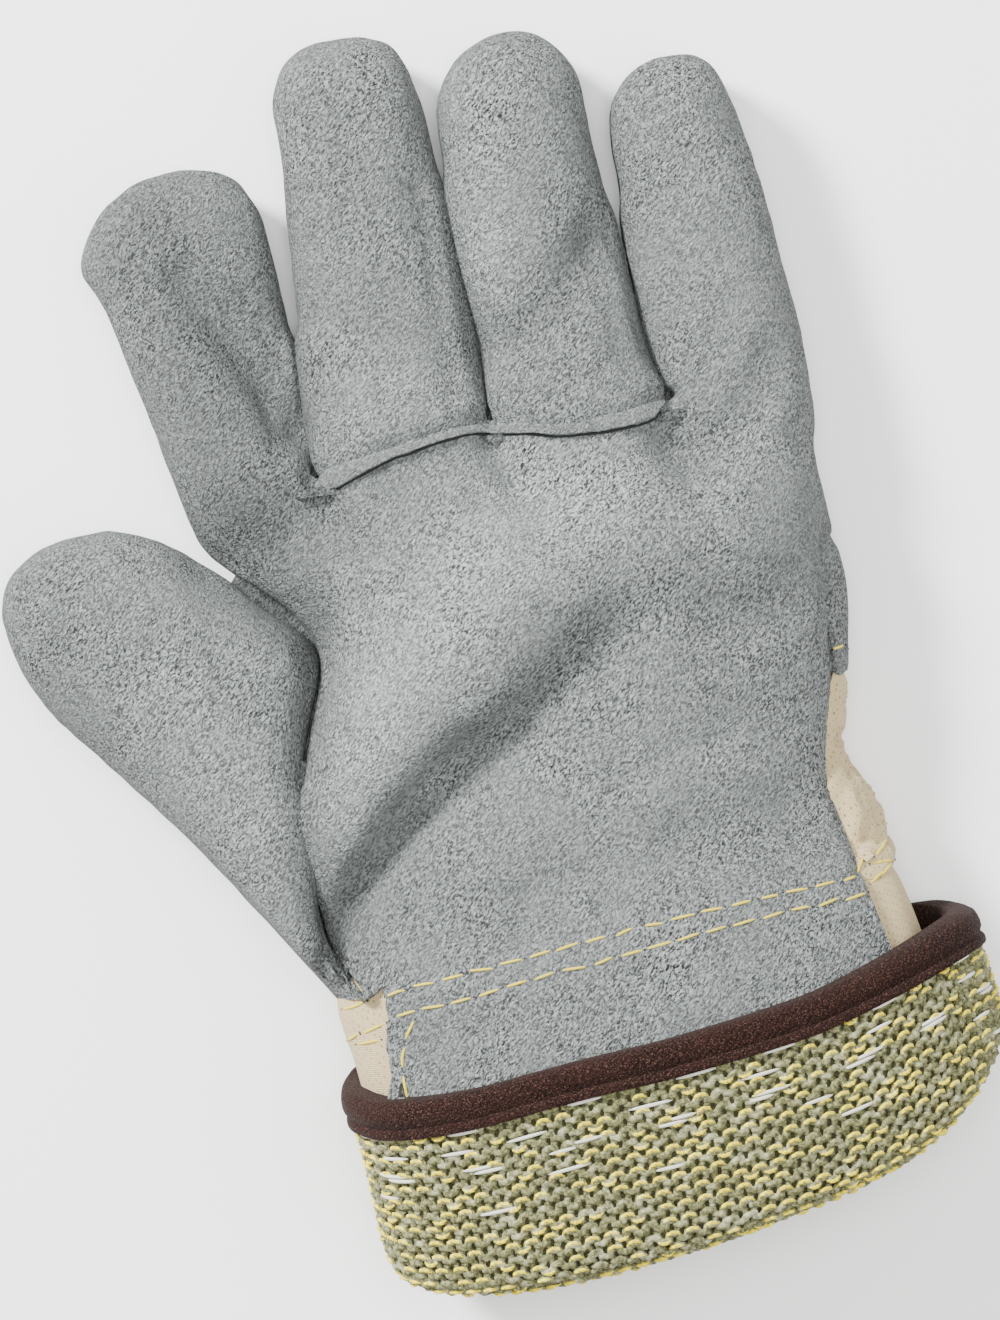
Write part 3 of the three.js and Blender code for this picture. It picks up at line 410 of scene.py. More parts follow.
def line_distance(plan, line):
    """For each place: how far it is from a line, how far along the line, from 0 to 1, and 1 on the line's left."""
    line = placed(line)
    best = np.full(len(plan), np.inf)
    along = np.zeros(len(plan))
    side = np.ones(len(plan))
    steps = [np.linalg.norm(end - start) for start, end in zip(line, line[1:])]
    done = 0
    for start, end, step in zip(line, line[1:], steps):
        ahead = end - start
        share = np.clip((plan - start) @ ahead / step**2, 0, 1)
        gap = np.linalg.norm(plan - start - share[:, None] * ahead, axis=1)
        nearer = gap < best
        best = np.where(nearer, gap, best)
        along = np.where(nearer, (done + share * step) / sum(steps), along)
        side = np.where(nearer, np.sign(ahead[0] * (plan[:, 1] - start[1]) - ahead[1] * (plan[:, 0] - start[0])), side)
        done += step
    return best, along, side


def patches_at(points, patches):
    """The sum of a table's patches at points."""
    total = np.zeros(len(points))
    for patch in patches:
        gap, _, _ = line_distance(points[:, :2], patch.line)
        total += patch.amount * np.exp(-((gap / patch.spread) ** 2))
    return total


def fold_heights(points, normals):
    """How far the soft folds move the leather outwards, on the side that faces up."""
    height = patches_at(points, LEATHER_FOLDS)
    for swell in LEATHER_SWELLS:
        gap, along, side = line_distance(points[:, :2], swell.line)
        sinking = np.exp(-((np.maximum(gap - swell.rise, 0) / swell.reach) ** 2))
        profile = fade(gap * side, -1, swell.rise) * sinking
        height += swell.height * profile * fade(along, -0.1, 0.2) * (1 - fade(along, 0.35, 1))
    height *= fade(normals[:, 2], 0.1, 0.6)
    for bottom, far in PARTINGS[:3]:
        gap, along, _ = line_distance(points[:, :2], (bottom, far))
        beside = (1 - fade(gap, 3.5, 8)) * (1 - fade(along, 0.8, 1)) * fade(along, 0, 0.06)
        height += FINGER_FULLNESS * beside * fade(np.abs(normals[:, 0]), 0.25, 0.8)
    return height


def write_painted_shade(obj, lay):
    """Writes on the leather how much it is painted darker or lighter, for painted light and shade and partly for the
    nap's tone: 0.5 is plain, less is darker, more is lighter.
    """
    layer = obj.data.attributes.new("Lay", "FLOAT", "POINT")
    layer.data.foreach_set("value", np.full(len(obj.data.vertices), lay, dtype=float))


def painted_palm_shade(points, normals):
    """The palm side's painted light and shade: lighter or darker in patches, partly the nap's tone, and painted shade
    on the steep sides.
    """
    upward = normals[:, 2]
    steep = (1 - fade(upward, 0.15, 0.8)) * fade(upward, -0.6, 0)
    # The steep sides are painted darker, as shade; the patches count where the leather faces up.
    return 0.5 + 1.15 * (patches_at(points, PAINTED_SHADE_AND_TONE) * fade(upward, -0.1, 0.5) - 0.16 * steep)


def thicken(obj, wall):
    walls = obj.modifiers.new("Wall", "SOLIDIFY")
    walls.thickness = wall * MM
    walls.offset = -1
    apply_modifier(obj, walls)


def finish_piece(obj, material, slot, *nodes):
    """Gives a piece its material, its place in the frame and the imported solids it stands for."""
    obj.data.materials.clear()
    obj.data.materials.append(material)
    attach(obj, "root")
    if nodes:
        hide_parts(*nodes)


def piece_from(name, points, faces, uvs=None):
    """A mesh object from points in mm. uvs has one pair for each corner."""
    mesh = bpy.data.meshes.new(name)
    mesh.from_pydata((points * MM).tolist(), [], faces)
    if uvs is not None:
        layer = mesh.uv_layers.new(name="UVMap")
        layer.data.foreach_set("uv", uvs.ravel())
    obj = bpy.data.objects.new(name, mesh)
    bpy.context.scene.collection.objects.link(obj)
    return obj


def build_sheet(node, wall, levels, settings, raw_below=None):
    """One leather or canvas piece: its outer face made smooth, with folds, creases and seams that roll inwards.

    raw_below gives the two heights on the hand between which its rim turns from a cut edge into a sewn seam.
    """
    obj = copy_of(node, node.replace("_", " ").title().replace(" ", "") + "Look")
    keep_outer_face(obj, wall)
    smooth_sheet(obj, levels)
    points, normals = surface_of(obj)
    distance, nearest, outwards = rim_of(obj, points, normals)
    rim = points[nearest]
    rim_height = height_on_hand(rim)
    raw = 1 - fade(rim_height, *raw_below) if raw_below else np.zeros(len(rim))
    sewn = 1 - raw
    to_seam, _, _ = line_distance(rim[:, :2], THUMB_SEAM)
    closed = (1 - fade(to_seam, 3, 7)) * (rim[:, 2] > 8) if node in {"palm_leather", "thumb_front"} else 0
    if node.startswith("thumb"):
        sewn = sewn * fade(rim_height, 3, 24)
    sewn = sewn * (1 - 0.9 * closed)
    roll = np.clip(1 - distance / settings.seam_width, 0, 1) ** 2 * settings.seam_depth * sewn
    pucker = lumps(points, 3.2, 5) * np.exp(-distance / 4) * settings.pucker * sewn
    broad = lumps(points, 26, 1) * 0.35 + lumps(points, 12, 2) * 0.2 + lumps(points, 5.5, 3) * 0.09
    height = fold_heights(points, normals) + broad * settings.unevenness * fade(distance, 0, 6) + pucker - roll
    closing = 1.2 + 1.0 * (1 - fade(rim_height, 4, 13))
    close_up = np.clip(1 - distance / 1.5, 0, 1) * (settings.seam_closing * sewn + closing * closed)
    points = points + normals * height[:, None] + outwards * close_up[:, None]
    even = points.copy()
    edge = np.flatnonzero(distance < ON_RIM)
    tree = tree_of(points, edge)
    for i in edge:
        even[i] = np.mean([spot for spot, _, _ in tree.find_n(points[i], 7)], axis=0)
    return obj, calm_corners(obj, even, distance), normals, distance, nearest


def calm_corners(obj, points, distance):
    """Evens out the leather round the corners where seams meet. The rim is evened out along itself only."""
    ends = np.empty(len(obj.data.edges) * 2, dtype=int)
    obj.data.edges.foreach_get("vertices", ends)
    first, second = ends.reshape(-1, 2).T
    taker, giver = np.concatenate([first, second]), np.concatenate([second, first])
    on_rim = distance < ON_RIM
    taken = on_rim[giver] | ~on_rim[taker]
    taker, giver = taker[taken], giver[taken]
    count = np.maximum(np.bincount(taker, minlength=len(points)), 1)[:, None]
    gaps = [np.linalg.norm(points[:, :2] - corner, axis=1) for corner in placed(SEAM_CORNERS)]
    near = 1 - fade(np.min(gaps, axis=0), 3, 8)
    for _ in range(9):
        total = np.zeros_like(points)
        np.add.at(total, taker, points[giver])
        points = points + 0.5 * near[:, None] * (total / count - points)
    return points


def settle(obj, points, floor=0.05):
    """Keeps a piece on or above the floor."""
    points[:, 2] = np.maximum(points[:, 2], floor)
    move_vertices(obj.data, points)


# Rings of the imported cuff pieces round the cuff, and the number of points at which a ring counts as not closed.
CUFF_COLUMNS = 36
LONGEST_RING = 500

# Courses of the knit: how far under the hem the first lies, and between which ones the cuff's fold is.
FIRST_COURSE = 0.75
FOLD_START, FOLD_END = 13, 23


def swept_grid(node):
    """The points in mm of a piece that is one profile carried round the cuff: columns by profile points."""
    obj = copy_of(node, "Measured")
    points = vertices_of(obj.data)
    following = {}
    for face in obj.data.polygons:
        a, b, c = face.vertices
        following[a, b], following[b, c], following[c, a] = c, a, b
    bpy.data.objects.remove(obj)

    def straight_ring(first, second):
        ring = [first, second]
        while ring[-1] != first and len(ring) < LONGEST_RING:
            beside = ring[-2]
            for _ in range(3):
                beside = following[ring[-1], beside]
            ring.append(beside)
        return ring[:-1]

    start = int(np.argmax(points[:, 0]))
    around = [b for a, b in following if a == start]
    profile = min((straight_ring(start, other) for other in around), key=len)
    if len(profile) == CUFF_COLUMNS:
        raise RuntimeError(f"{node}: its profile can't be told from its rings")
    rings = []
    for vertex in profile:
        tries = [straight_ring(vertex, b) for a, b in following if a == vertex]
        tries = [ring for ring in tries if len(ring) == CUFF_COLUMNS]
        rings.append(max(tries, key=lambda ring: points[ring[3], 2]))
    return points[np.array(rings)].transpose(1, 0, 2)


def curve_through(points, places, closed):
    """Points at fractional places along a smooth curve through rows of points."""
    count = len(points)
    at = np.floor(places).astype(int)
    if not closed:
        at = np.clip(at, 0, count - 2)
    part = (places - at).reshape(-1, *([1] * (points.ndim - 1)))
    if closed:
        before, here, after, beyond = (points[(at + step) % count] for step in (-1, 0, 1, 2))
    else:
        padded = np.concatenate([2 * points[:1] - points[1:2], points, 2 * points[-1:] - points[-2:-1]])
        before, here, after, beyond = (padded[at + step] for step in (0, 1, 2, 3))
    cubic = 3 * (here - after) + beyond - before
    square = 2 * before - 5 * here + 4 * after - beyond + part * cubic
    return here + 0.5 * part * (after - before + part * square)


def even_columns(grid, row, count):
    """The grid with its columns spaced evenly along one of its rings."""
    fine_steps = 1440
    fine = curve_through(grid, np.linspace(0, len(grid), fine_steps, endpoint=False), True)
    steps = np.linalg.norm(np.roll(fine[:, row], -1, axis=0) - fine[:, row], axis=1)
    length = np.concatenate([[0], np.cumsum(steps)])
    wanted = np.linspace(0, length[-1], count, endpoint=False)
    places = np.interp(wanted, length, np.arange(len(length)))
    return curve_through(fine, places, True), length[-1]


def ring_quads(count, sides, closed):
    """The quads between rings of points, and how far along and round each corner is, in whole steps."""
    last = count if closed else count - 1
    i = np.repeat(np.arange(last), sides)
    k = np.tile(np.arange(sides), last)
    ahead, beside = (i + 1) % count, (k + 1) % sides
    faces = np.stack([i * sides + k, i * sides + beside, ahead * sides + beside, ahead * sides + k], axis=1)
    return faces, np.stack([i, i, i + 1, i + 1], axis=1), np.stack([k, k + 1, k + 1, k], axis=1)


def ring_surface(grid, uv_scale):
    """Faces and UVs in mm of a closed grid of columns by profile points."""
    faces, along, around = ring_quads(*grid.shape[:2], True)
    return faces.tolist(), np.stack([along, around], axis=2).reshape(-1, 2) * np.array(uv_scale)


def cuff_wave(grid):
    """Lifts the hem of the turned-back cuff along the middle of the palm side, where it rides up."""
    across, up = np.moveaxis(grid[..., :2] - HAND_ORIGIN, -1, 0)
    bump = np.sin(np.clip((across + 62) / 102, 0, 1) * math.pi) ** 1.2
    moved = grid.copy()
    moved[..., 1] += HEM_LIFT * bump * fade(up, -62, -36) * fade(grid[..., 2], 12, 22)
    return moved


class KnitSurface:
    """The lining's visible face: from the hem, over the turned-back part and the fold, to the inside of the wrist."""

    # The turned-back part: its length in mm, and its share of the courses.
    turned_length = 43.0
    turned_share = 0.38

    def __init__(self):
        grid = swept_grid("cuff_lining")
        grid = cuff_wave(grid)
        rows = grid.shape[1]
        side = grid[0]
        ends = sorted(range(rows), key=lambda k: -side[k, 1])[:2]
        inner = min(ends, key=lambda k: side[k, 0])
        other = max(ends, key=lambda k: side[k, 0])
        step = 1 if (inner + 1) % rows != other else -1
        order = [(inner + step * k) % rows for k in range(rows)]
        self.closed = grid[:, order]
        face = self.closed[:, : rows // 2][:, ::-1]
        self.columns = 720
        even, _ = even_columns(face, 2, self.columns)
        fine = curve_through(even.transpose(1, 0, 2), np.linspace(0, rows // 2 - 1, 160), False).transpose(1, 0, 2)
        steps = np.linalg.norm(np.diff(fine, axis=1), axis=2)
        length = np.concatenate([np.zeros((self.columns, 1)), np.cumsum(steps, axis=1)], axis=1)
        self.rows = 300
        self.grid = np.empty((self.columns, self.rows, 3))
        share = np.linspace(0, 1, self.rows)
        for i in range(self.columns):
            far = self.down(share, length[i, -1])
            for axis in range(3):
                self.grid[i, :, axis] = np.interp(far, length[i], fine[i, :, axis])
        around = np.roll(self.grid, -1, axis=0) - np.roll(self.grid, 1, axis=0)
        downwards = np.gradient(self.grid, axis=1)
        normal = np.cross(downwards, around)
        self.normal = normal / np.linalg.norm(normal, axis=2, keepdims=True)
        column, row = self.columns // 4, self.rows // 10
        outwards = self.grid[column, row] - self.grid[:, row].mean(axis=0)
        if self.normal[column, row] @ outwards < 0:
            self.normal = -self.normal

    def down(self, share, total):
        """Distance from the hem at a share of the courses: even on the turned-back part, then what fits inside."""
        turned = self.turned_share
        inside = (share - turned) / (1 - turned) * (total - self.turned_length)
        return np.where(share < turned, share / turned * self.turned_length, self.turned_length + inside)

    def at(self, across, share):
        """Points and normals at shares round the cuff and down the courses."""
        x = (across % 1) * self.columns
        y = np.clip(share, 0, 1) * (self.rows - 1)
        i, k = np.floor(x).astype(int), np.minimum(np.floor(y).astype(int), self.rows - 2)
        a, b = (x - i)[:, None], (y - k)[:, None]
        j = (i + 1) % self.columns
        i = i % self.columns

        def blend(values):
            return (1 - a) * ((1 - b) * values[i, k] + b * values[i, k + 1]) + a * (
                (1 - b) * values[j, k] + b * values[j, k + 1]
            )

        normal = blend(self.normal)
        return blend(self.grid), normal / np.linalg.norm(normal, axis=1, keepdims=True)


def tube(path, facing, radius, sides, closed):
    """The points and quads of a tube along a path. facing is a way to keep the rings from twisting."""
    ahead = np.roll(path, -1, axis=0) - np.roll(path, 1, axis=0)
    if not closed:
        ahead = np.gradient(path, axis=0)
    ahead /= np.linalg.norm(ahead, axis=1, keepdims=True)
    across = np.cross(ahead, facing)
    across /= np.linalg.norm(across, axis=1, keepdims=True)
    up = np.cross(across, ahead)
    angles = np.arange(sides) / sides * 2 * math.pi
    radius = np.broadcast_to(radius, len(path))[:, None, None]
    ring = np.cos(angles)[None, :, None] * up[:, None] + np.sin(angles)[None, :, None] * across[:, None]
    points = (path[:, None] + radius * ring).reshape(-1, 3)
    faces, along, around = ring_quads(len(path), sides, closed)
    return points, faces[:, ::-1], along[:, ::-1], around[:, ::-1] / sides


class Strands:
    """Gathers tubes into one mesh object, with UVs along each strand."""

    def __init__(self):
        self.points, self.faces, self.uvs, self.count = [], [], [], 0

    def add(self, path, facing, radius, sides, closed=False):
        points, faces, u, v = tube(path, facing, radius, sides, closed)
        self.points.append(points)
        self.faces.append(faces + self.count)
        self.uvs.append(np.stack([u * 0.5, v], axis=2).reshape(-1, 2))
        self.count += len(points)

    def object(self, name):
        points = np.concatenate(self.points)
        points[:, 2] = np.maximum(points[:, 2], 0.02)
        obj = piece_from(name, points, np.concatenate(self.faces).tolist(), np.concatenate(self.uvs))
        obj.data.shade_smooth()
        return obj


def loop_place(turn):
    """How many wales along a course the yarn is, after some turns of its wave: it leans, so that loops bulge."""
    return turn / (2 * math.pi) + 0.2 * np.sin(2 * turn)


def loop_course(knit, settings, course, samples):
    """One course of knitting, seen from its purl side: the yarn's path round the cuff and the ways it faces."""
    turn = np.arange(settings.wales * samples) / samples * 2 * math.pi
    wobble = lumps(np.stack([turn * 1.3, np.full_like(turn, course * 9.1), np.zeros_like(turn)], axis=1), 1.0, 11)
    sideways = loop_place(turn) + 0.08 * wobble
    spacing = 1 / settings.courses
    rise = settings.loop_height * np.cos(turn) * (1 + 0.2 * wobble)
    points, normals = knit.at(sideways / settings.wales, (course + FIRST_COURSE + rise) * spacing)
    depth = settings.loop_depth * np.cos(2 * turn) - settings.yarn_sink + 0.12 * wobble
    return points + normals * depth[:, None], normals


class Finish:
    """A procedural material, built node by node."""

    def __init__(self, name, color, roughness, sheen=0.0):
        self.material = bpy.data.materials.new(name)
        self.material.use_nodes = True
        self.tree = self.material.node_tree
        self.shader = self.tree.nodes["Principled BSDF"]
        self.shader.inputs["Base Color"].default_value = (*color, 1)
        self.shader.inputs["Roughness"].default_value = roughness
        self.shader.inputs["Specular IOR Level"].default_value = 0.15
        self.shader.inputs["Sheen Weight"].default_value = sheen
        self.shader.inputs["Sheen Roughness"].default_value = 0.6

    def node(self, kind, **values):
        node = self.tree.nodes.new(f"ShaderNode{kind}")
        for name, value in values.items():
            if hasattr(node, name) and name not in node.inputs:
                setattr(node, name, value)
            else:
                node.inputs[name].default_value = value
        return node

    def join(self, output, entry):
        self.tree.links.new(output, entry)

    def place(self, source="Object", scale=(1, 1, 1), angle=0.0, kind="POINT"):
        """Coordinates of the object, or those of its UVs, scaled and turned."""
        mapping = self.node("Mapping", vector_type=kind, Scale=scale, Rotation=(0, 0, angle))
        self.join(self.node("TexCoord").outputs[source], mapping.inputs["Vector"])
        return mapping.outputs["Vector"]

    def speckle(self, vector, scale, detail=3.0, roughness=0.6, distortion=0.0):
        noise = self.node("TexNoise", Scale=scale, Detail=detail, Roughness=roughness, Distortion=distortion)
        self.join(vector, noise.inputs["Vector"])
        return noise.outputs["Fac"]

    def range(self, value, low, high, to_low=0.0, to_high=1.0):
        node = self.node("MapRange")
        for name, number in (("From Min", low), ("From Max", high), ("To Min", to_low), ("To Max", to_high)):
            node.inputs[name].default_value = number
        self.join(value, node.inputs["Value"])
        return node.outputs["Result"]

    def math(self, operation, first, second=0.5):
        node = self.node("Math", operation=operation)
        for entry, value in zip(node.inputs, (first, second)):
            if isinstance(value, (int, float)):
                entry.default_value = value
            else:
                self.join(value, entry)
        return node.outputs["Value"]

    def mix(self, factor, first, second, blend="MIX"):
        node = self.node("Mix", data_type="RGBA", blend_type=blend)
        factor_in, first_in, second_in = node.inputs[0], node.inputs[6], node.inputs[7]
        for entry, value in ((factor_in, factor), (first_in, first), (second_in, second)):
            if isinstance(value, (int, float)):
                entry.default_value = value
            elif isinstance(value, (tuple, list)) or hasattr(value, "r"):
                entry.default_value = (*value[:3], 1)
            else:
                self.join(value, entry)
        return node.outputs[2]

    def paint(self, base, *layers):
        """Lays colours over a base. A value between low and high makes each show, from one share to another."""
        for value, low, high, at_low, at_high, color in layers:
            base = self.mix(self.range(value, low, high, at_low, at_high), base, color)
        return base

    def color(self, output):
        self.join(output, self.shader.inputs["Base Color"])

    def bump(self, height, distance, strength=1.0, under=None):
        node = self.node("Bump", Strength=strength, Distance=distance)
        self.join(height, node.inputs["Height"])
        if under is not None:
            self.join(under, node.inputs["Normal"])
        self.join(node.outputs["Normal"], self.shader.inputs["Normal"])
        return node.outputs["Normal"]


def shade_of(color, factor):
    return tuple(channel * factor for channel in color[:3])


def suede_finish(settings, name="Split Leather", tone=1.0, strength=1.0):
    """Split leather: a short matted nap that catches the light, with cloudy patches where it lies differently."""
    color = shade_of(settings.color, tone)
    finish = Finish(name, color, 0.95, sheen=0.04)
    even = finish.place()
    lay = finish.place(scale=(1.9, 1, 1), angle=math.radians(42), kind="TEXTURE")
    cloud = finish.speckle(even, 60, 3, 0.6)
    patches = finish.speckle(even, 170, 3, 0.6)
    tufts = finish.speckle(lay, 2100, 1, 0.6, 0.7)
    fibres = finish.speckle(lay, 4400, 1, 0.6, 0.4)
    nap = finish.math("ADD", finish.math("MULTIPLY", tufts, 0.7), finish.math("MULTIPLY", fibres, 0.3))
    flat = finish.range(finish.speckle(even, 45, 2, 0.5), 0.42, 0.6, 0.0, 0.3)
    crisp = finish.node("Mix", data_type="FLOAT")
    finish.join(flat, crisp.inputs[0])
    finish.join(finish.range(nap, 0.4, 0.62), crisp.inputs[2])
    crisp.inputs[3].default_value = 0.5
    contrast = crisp.outputs[0]
    light = finish.mix(contrast, shade_of(color, 1 - 0.93 * strength), shade_of(color, 1 + 1.12 * strength))
    clouded = finish.paint(
        light,
        (cloud, 0.38, 0.66, 0.0, 0.35, shade_of(color, 0.72)),
        (patches, 0.45, 0.7, 0.0, 0.25, shade_of(color, 1.25)),
    )
    # The Lay attribute holds painted light and shade, partly the nap's tone, and the colour is multiplied by it.
    shade_attribute = finish.node("Attribute", attribute_name="Lay")
    painted_shading = finish.mix(finish.range(shade_attribute.outputs["Fac"], 0, 1), (0.45, 0.45, 0.45), (1.55, 1.55, 1.55))
    finish.color(finish.mix(1.0, clouded, painted_shading, "MULTIPLY"))
    soft = finish.bump(finish.speckle(even, 240, 2, 0.5), 0.0009, 0.6)
    finish.bump(nap, 0.003 * strength, 1.0, under=soft)
    return finish.material


def canvas_finish(settings):
    """Plain-woven cotton, with the odd thicker thread."""
    color = settings.canvas_color
    finish = Finish("Canvas", color, 0.9, sheen=0.1)
    threads = 1 / (settings.canvas_pitch * MM)
    vector = finish.place("UV")
    split = finish.node("SeparateXYZ")
    finish.join(vector, split.inputs["Vector"])
    waves = []
    for axis, other in (("X", "Y"), ("Y", "X")):
        run = finish.math("MULTIPLY", split.outputs[axis], threads * math.pi)
        over = finish.math("MULTIPLY", split.outputs[other], threads * math.pi)
        ridge = finish.math("ABSOLUTE", finish.math("SINE", run))
        thread = finish.math("FLOOR", finish.math("DIVIDE", run, math.pi))
        rise = finish.math("SINE", finish.math("ADD", over, finish.math("MULTIPLY", thread, math.pi)))
        sign = 0.5 if axis == "X" else -0.5
        waves.append(finish.math("MULTIPLY", ridge, finish.math("ADD", finish.math("MULTIPLY", rise, sign), 0.6)))
    weave = finish.math("MAXIMUM", waves[0], waves[1])
    slub = finish.speckle(finish.place("UV", scale=(1, 0.12, 1)), 900, 2)
    stain = finish.speckle(finish.place("UV"), 70, 3)
    pins = finish.node("TexVoronoi", voronoi_dimensions="2D", Scale=720.0, Randomness=0.5)
    finish.join(finish.place("UV", scale=(1, 0.62, 1), angle=math.radians(24)), pins.inputs["Vector"])
    base = finish.paint(
        shade_of(color, 0.6),
        (weave, 0.2, 0.9, 0.0, 1.0, shade_of(color, 1.08)),
        (pins.outputs["Distance"], 0.07, 0.2, 0.85, 0.0, shade_of(color, 0.22)),
        (slub, 0.4, 0.7, 0.0, 0.35, shade_of(color, 1.12)),
        (stain, 0.4, 0.7, 0.0, 0.25, shade_of(color, 0.85)),
    )
    finish.color(base)
    finish.bump(finish.math("ADD", weave, finish.math("MULTIPLY", slub, 0.3)), 0.00022, 0.8)
    return finish.material


def binding_finish(settings):
    """Dark twill tape: fine slanting ribs, slightly faded in patches."""
    color = settings.binding_color
    finish = Finish("Binding Tape", color, 0.9, sheen=0.03)
    finish.shader.inputs["Specular IOR Level"].default_value = 0.06
    vector = finish.place("UV", angle=math.radians(-52))
    ribs = finish.node("TexWave", Scale=1 / (settings.binding_rib * MM) / 6.28, Distortion=2.0)
    ribs.inputs["Detail"].default_value = 1.0
    ribs.inputs["Detail Scale"].default_value = 4.0
    finish.join(vector, ribs.inputs["Vector"])
    dust = finish.speckle(finish.place(), 2800, 2, 0.8)
    worn = finish.speckle(finish.place(), 60, 2)
    weave = finish.math("ADD", finish.math("MULTIPLY", ribs.outputs["Fac"], 0.12), finish.math("MULTIPLY", dust, 0.88))
    base = finish.paint(
        shade_of(color, 0.1),
        (weave, 0.36, 0.62, 0.0, 1.0, shade_of(color, 1.35)),
        (dust, 0.57, 0.66, 0.0, 0.7, (0.125, 0.064, 0.05)),
        (worn, 0.4, 0.7, 0.0, 0.3, shade_of(color, 1.5)),
    )
    finish.color(base)
    finish.bump(weave, 0.00035, 0.9)
    return finish.material


def yarn_finish(name, color, fleck, light):
    """Spun yarn: plies slanting round it, flecks of the fibres it is blended from."""
    finish = Finish(name, color, 0.95, sheen=0.06)
    plies = finish.node("TexWave", Scale=1.3, Distortion=1.2)
    plies.inputs["Detail"].default_value = 2.0
    finish.join(finish.place("UV", scale=(0.45, 1.0, 1), angle=math.radians(35)), plies.inputs["Vector"])
    blend = finish.speckle(finish.place(), 1300, 3, 0.7)
    long_blend = finish.speckle(finish.place(), 330, 2, 0.5)
    base = finish.paint(
        fleck,
        (blend, 0.38, 0.62, 0.0, 1.0, color),
        (long_blend, 0.52, 0.66, 0.0, 0.7, light),
        (plies.outputs["Fac"], 0.0, 0.5, 0.3, 0.0, shade_of(fleck, 0.7)),
    )
    finish.color(base)
    finish.bump(finish.math("ADD", plies.outputs["Fac"], finish.math("MULTIPLY", blend, 0.8)), 0.0003, 0.8)
    return finish.material


def thread_finish(name, color):
    """Sewing thread: a tight twist and a slight gloss."""
    finish = Finish(name, color, 0.6)
    twist = finish.node("TexWave", Scale=2.2)
    finish.join(finish.place("UV", scale=(1.0, 1.0, 1), angle=math.radians(40)), twist.inputs["Vector"])
    finish.color(finish.mix(twist.outputs["Fac"], shade_of(color, 0.7), color))
    finish.bump(twist.outputs["Fac"], 0.0001, 0.6)
    return finish.material


def color_property(name, description, default):
    return FloatVectorProperty(
        name=name, description=description, default=default, size=3, subtype="COLOR", min=0, max=1
    )


def mm_property(name, description, default, **limits):
    return FloatProperty(name=name, description=f"{description}, in mm", default=default, **{"min": 0, **limits})


class GloveLeatherSettings(bpy.types.PropertyGroup):
    color: color_property("Leather", "Colour of the leather", (0.193, 0.21, 0.204))
    thickness: mm_property("Thickness", "Thickness of the leather", 1.6, min=0.5, max=4)
    levels: IntProperty(name="Detail", description="How often each packed face is divided", default=3, min=1, max=4)
    seam_width: mm_property("Seam Width", "How far from a seam the leather starts to roll in", 3.4)
    seam_depth: mm_property("Seam Depth", "How deep the leather rolls in at a seam", 1.3)
    seam_closing: mm_property("Seam Closing", "How far a seam's edge moves to its neighbour", 0.42)
    pucker: mm_property("Pucker", "Height of the puckers along the seams", 0.35)
    unevenness: FloatProperty(
        name="Unevenness", description="Strength of the slow swells of the leather", default=1.0, min=0
    )


class GloveClothSettings(bpy.types.PropertyGroup):
    canvas_color: color_property("Canvas", "Colour of the canvas", (0.535, 0.425, 0.235))
    canvas_pitch: mm_property("Thread Pitch", "Distance between the canvas's threads", 0.45, min=0.2)
    binding_color: color_property("Binding", "Colour of the binding", (0.0155, 0.006, 0.0042))
    binding_rib: mm_property("Binding Rib", "Distance between the binding's ribs", 0.55, min=0.2)
    binding_shortening: FloatProperty(
        name="Binding Shortening",
        description="Share by which the tape's outer face ends before the packed one",
        default=0.26,
        min=0,
        max=0.8,
        subtype="FACTOR",
    )
    gather_height: mm_property("Gather Height", "Height of the gathers at the wrist", 0.9)
    gather_pitch: mm_property("Gather Pitch", "Distance between the gathers", 4.6, min=1)


class GloveKnitSettings(bpy.types.PropertyGroup):
    color: color_property("Yarn", "Main colour of the yarn", (0.25, 0.25, 0.112))
    accent: color_property("Accent Yarn", "Colour of the yellow strand", (0.86, 0.7, 0.04))
    courses: IntProperty(
        name="Courses", description="Rows of knitting from the hem to the inside of the wrist", default=37, min=10
    )
    wales: IntProperty(name="Wales", description="Loops in each course", default=80, min=20)
    yarn_radius: mm_property("Yarn Radius", "Half the yarn's thickness", 0.82, min=0.1)
    loop_height: FloatProperty(
        name="Loop Height",
        description="Half a loop's height, as a share of the space between courses",
        default=0.72,
        min=0.1,
    )
    loop_depth: mm_property("Loop Depth", "How far a loop goes in and out", 0.5)
    yarn_sink: mm_property("Yarn Sink", "How deep the yarn lies under the packed lining's face", 0.85)
    seed: IntProperty(name="Seed", description="Changes which loops show the accent yarn", default=7)


class GloveThreadSettings(bpy.types.PropertyGroup):
    color: color_property("Thread", "Colour of the sewing thread", (0.77, 0.62, 0.07))
    pale: color_property("Pale Thread", "Colour of the thread run through the knit", (0.72, 0.71, 0.62))
    length: mm_property("Stitch Length", "Length of a stitch", 5.3, min=1)
    spacing: mm_property("Spacing", "Space between two stitches", 1.2)
    radius: mm_property("Thread Radius", "Half the thread's thickness", 0.34, min=0.05)


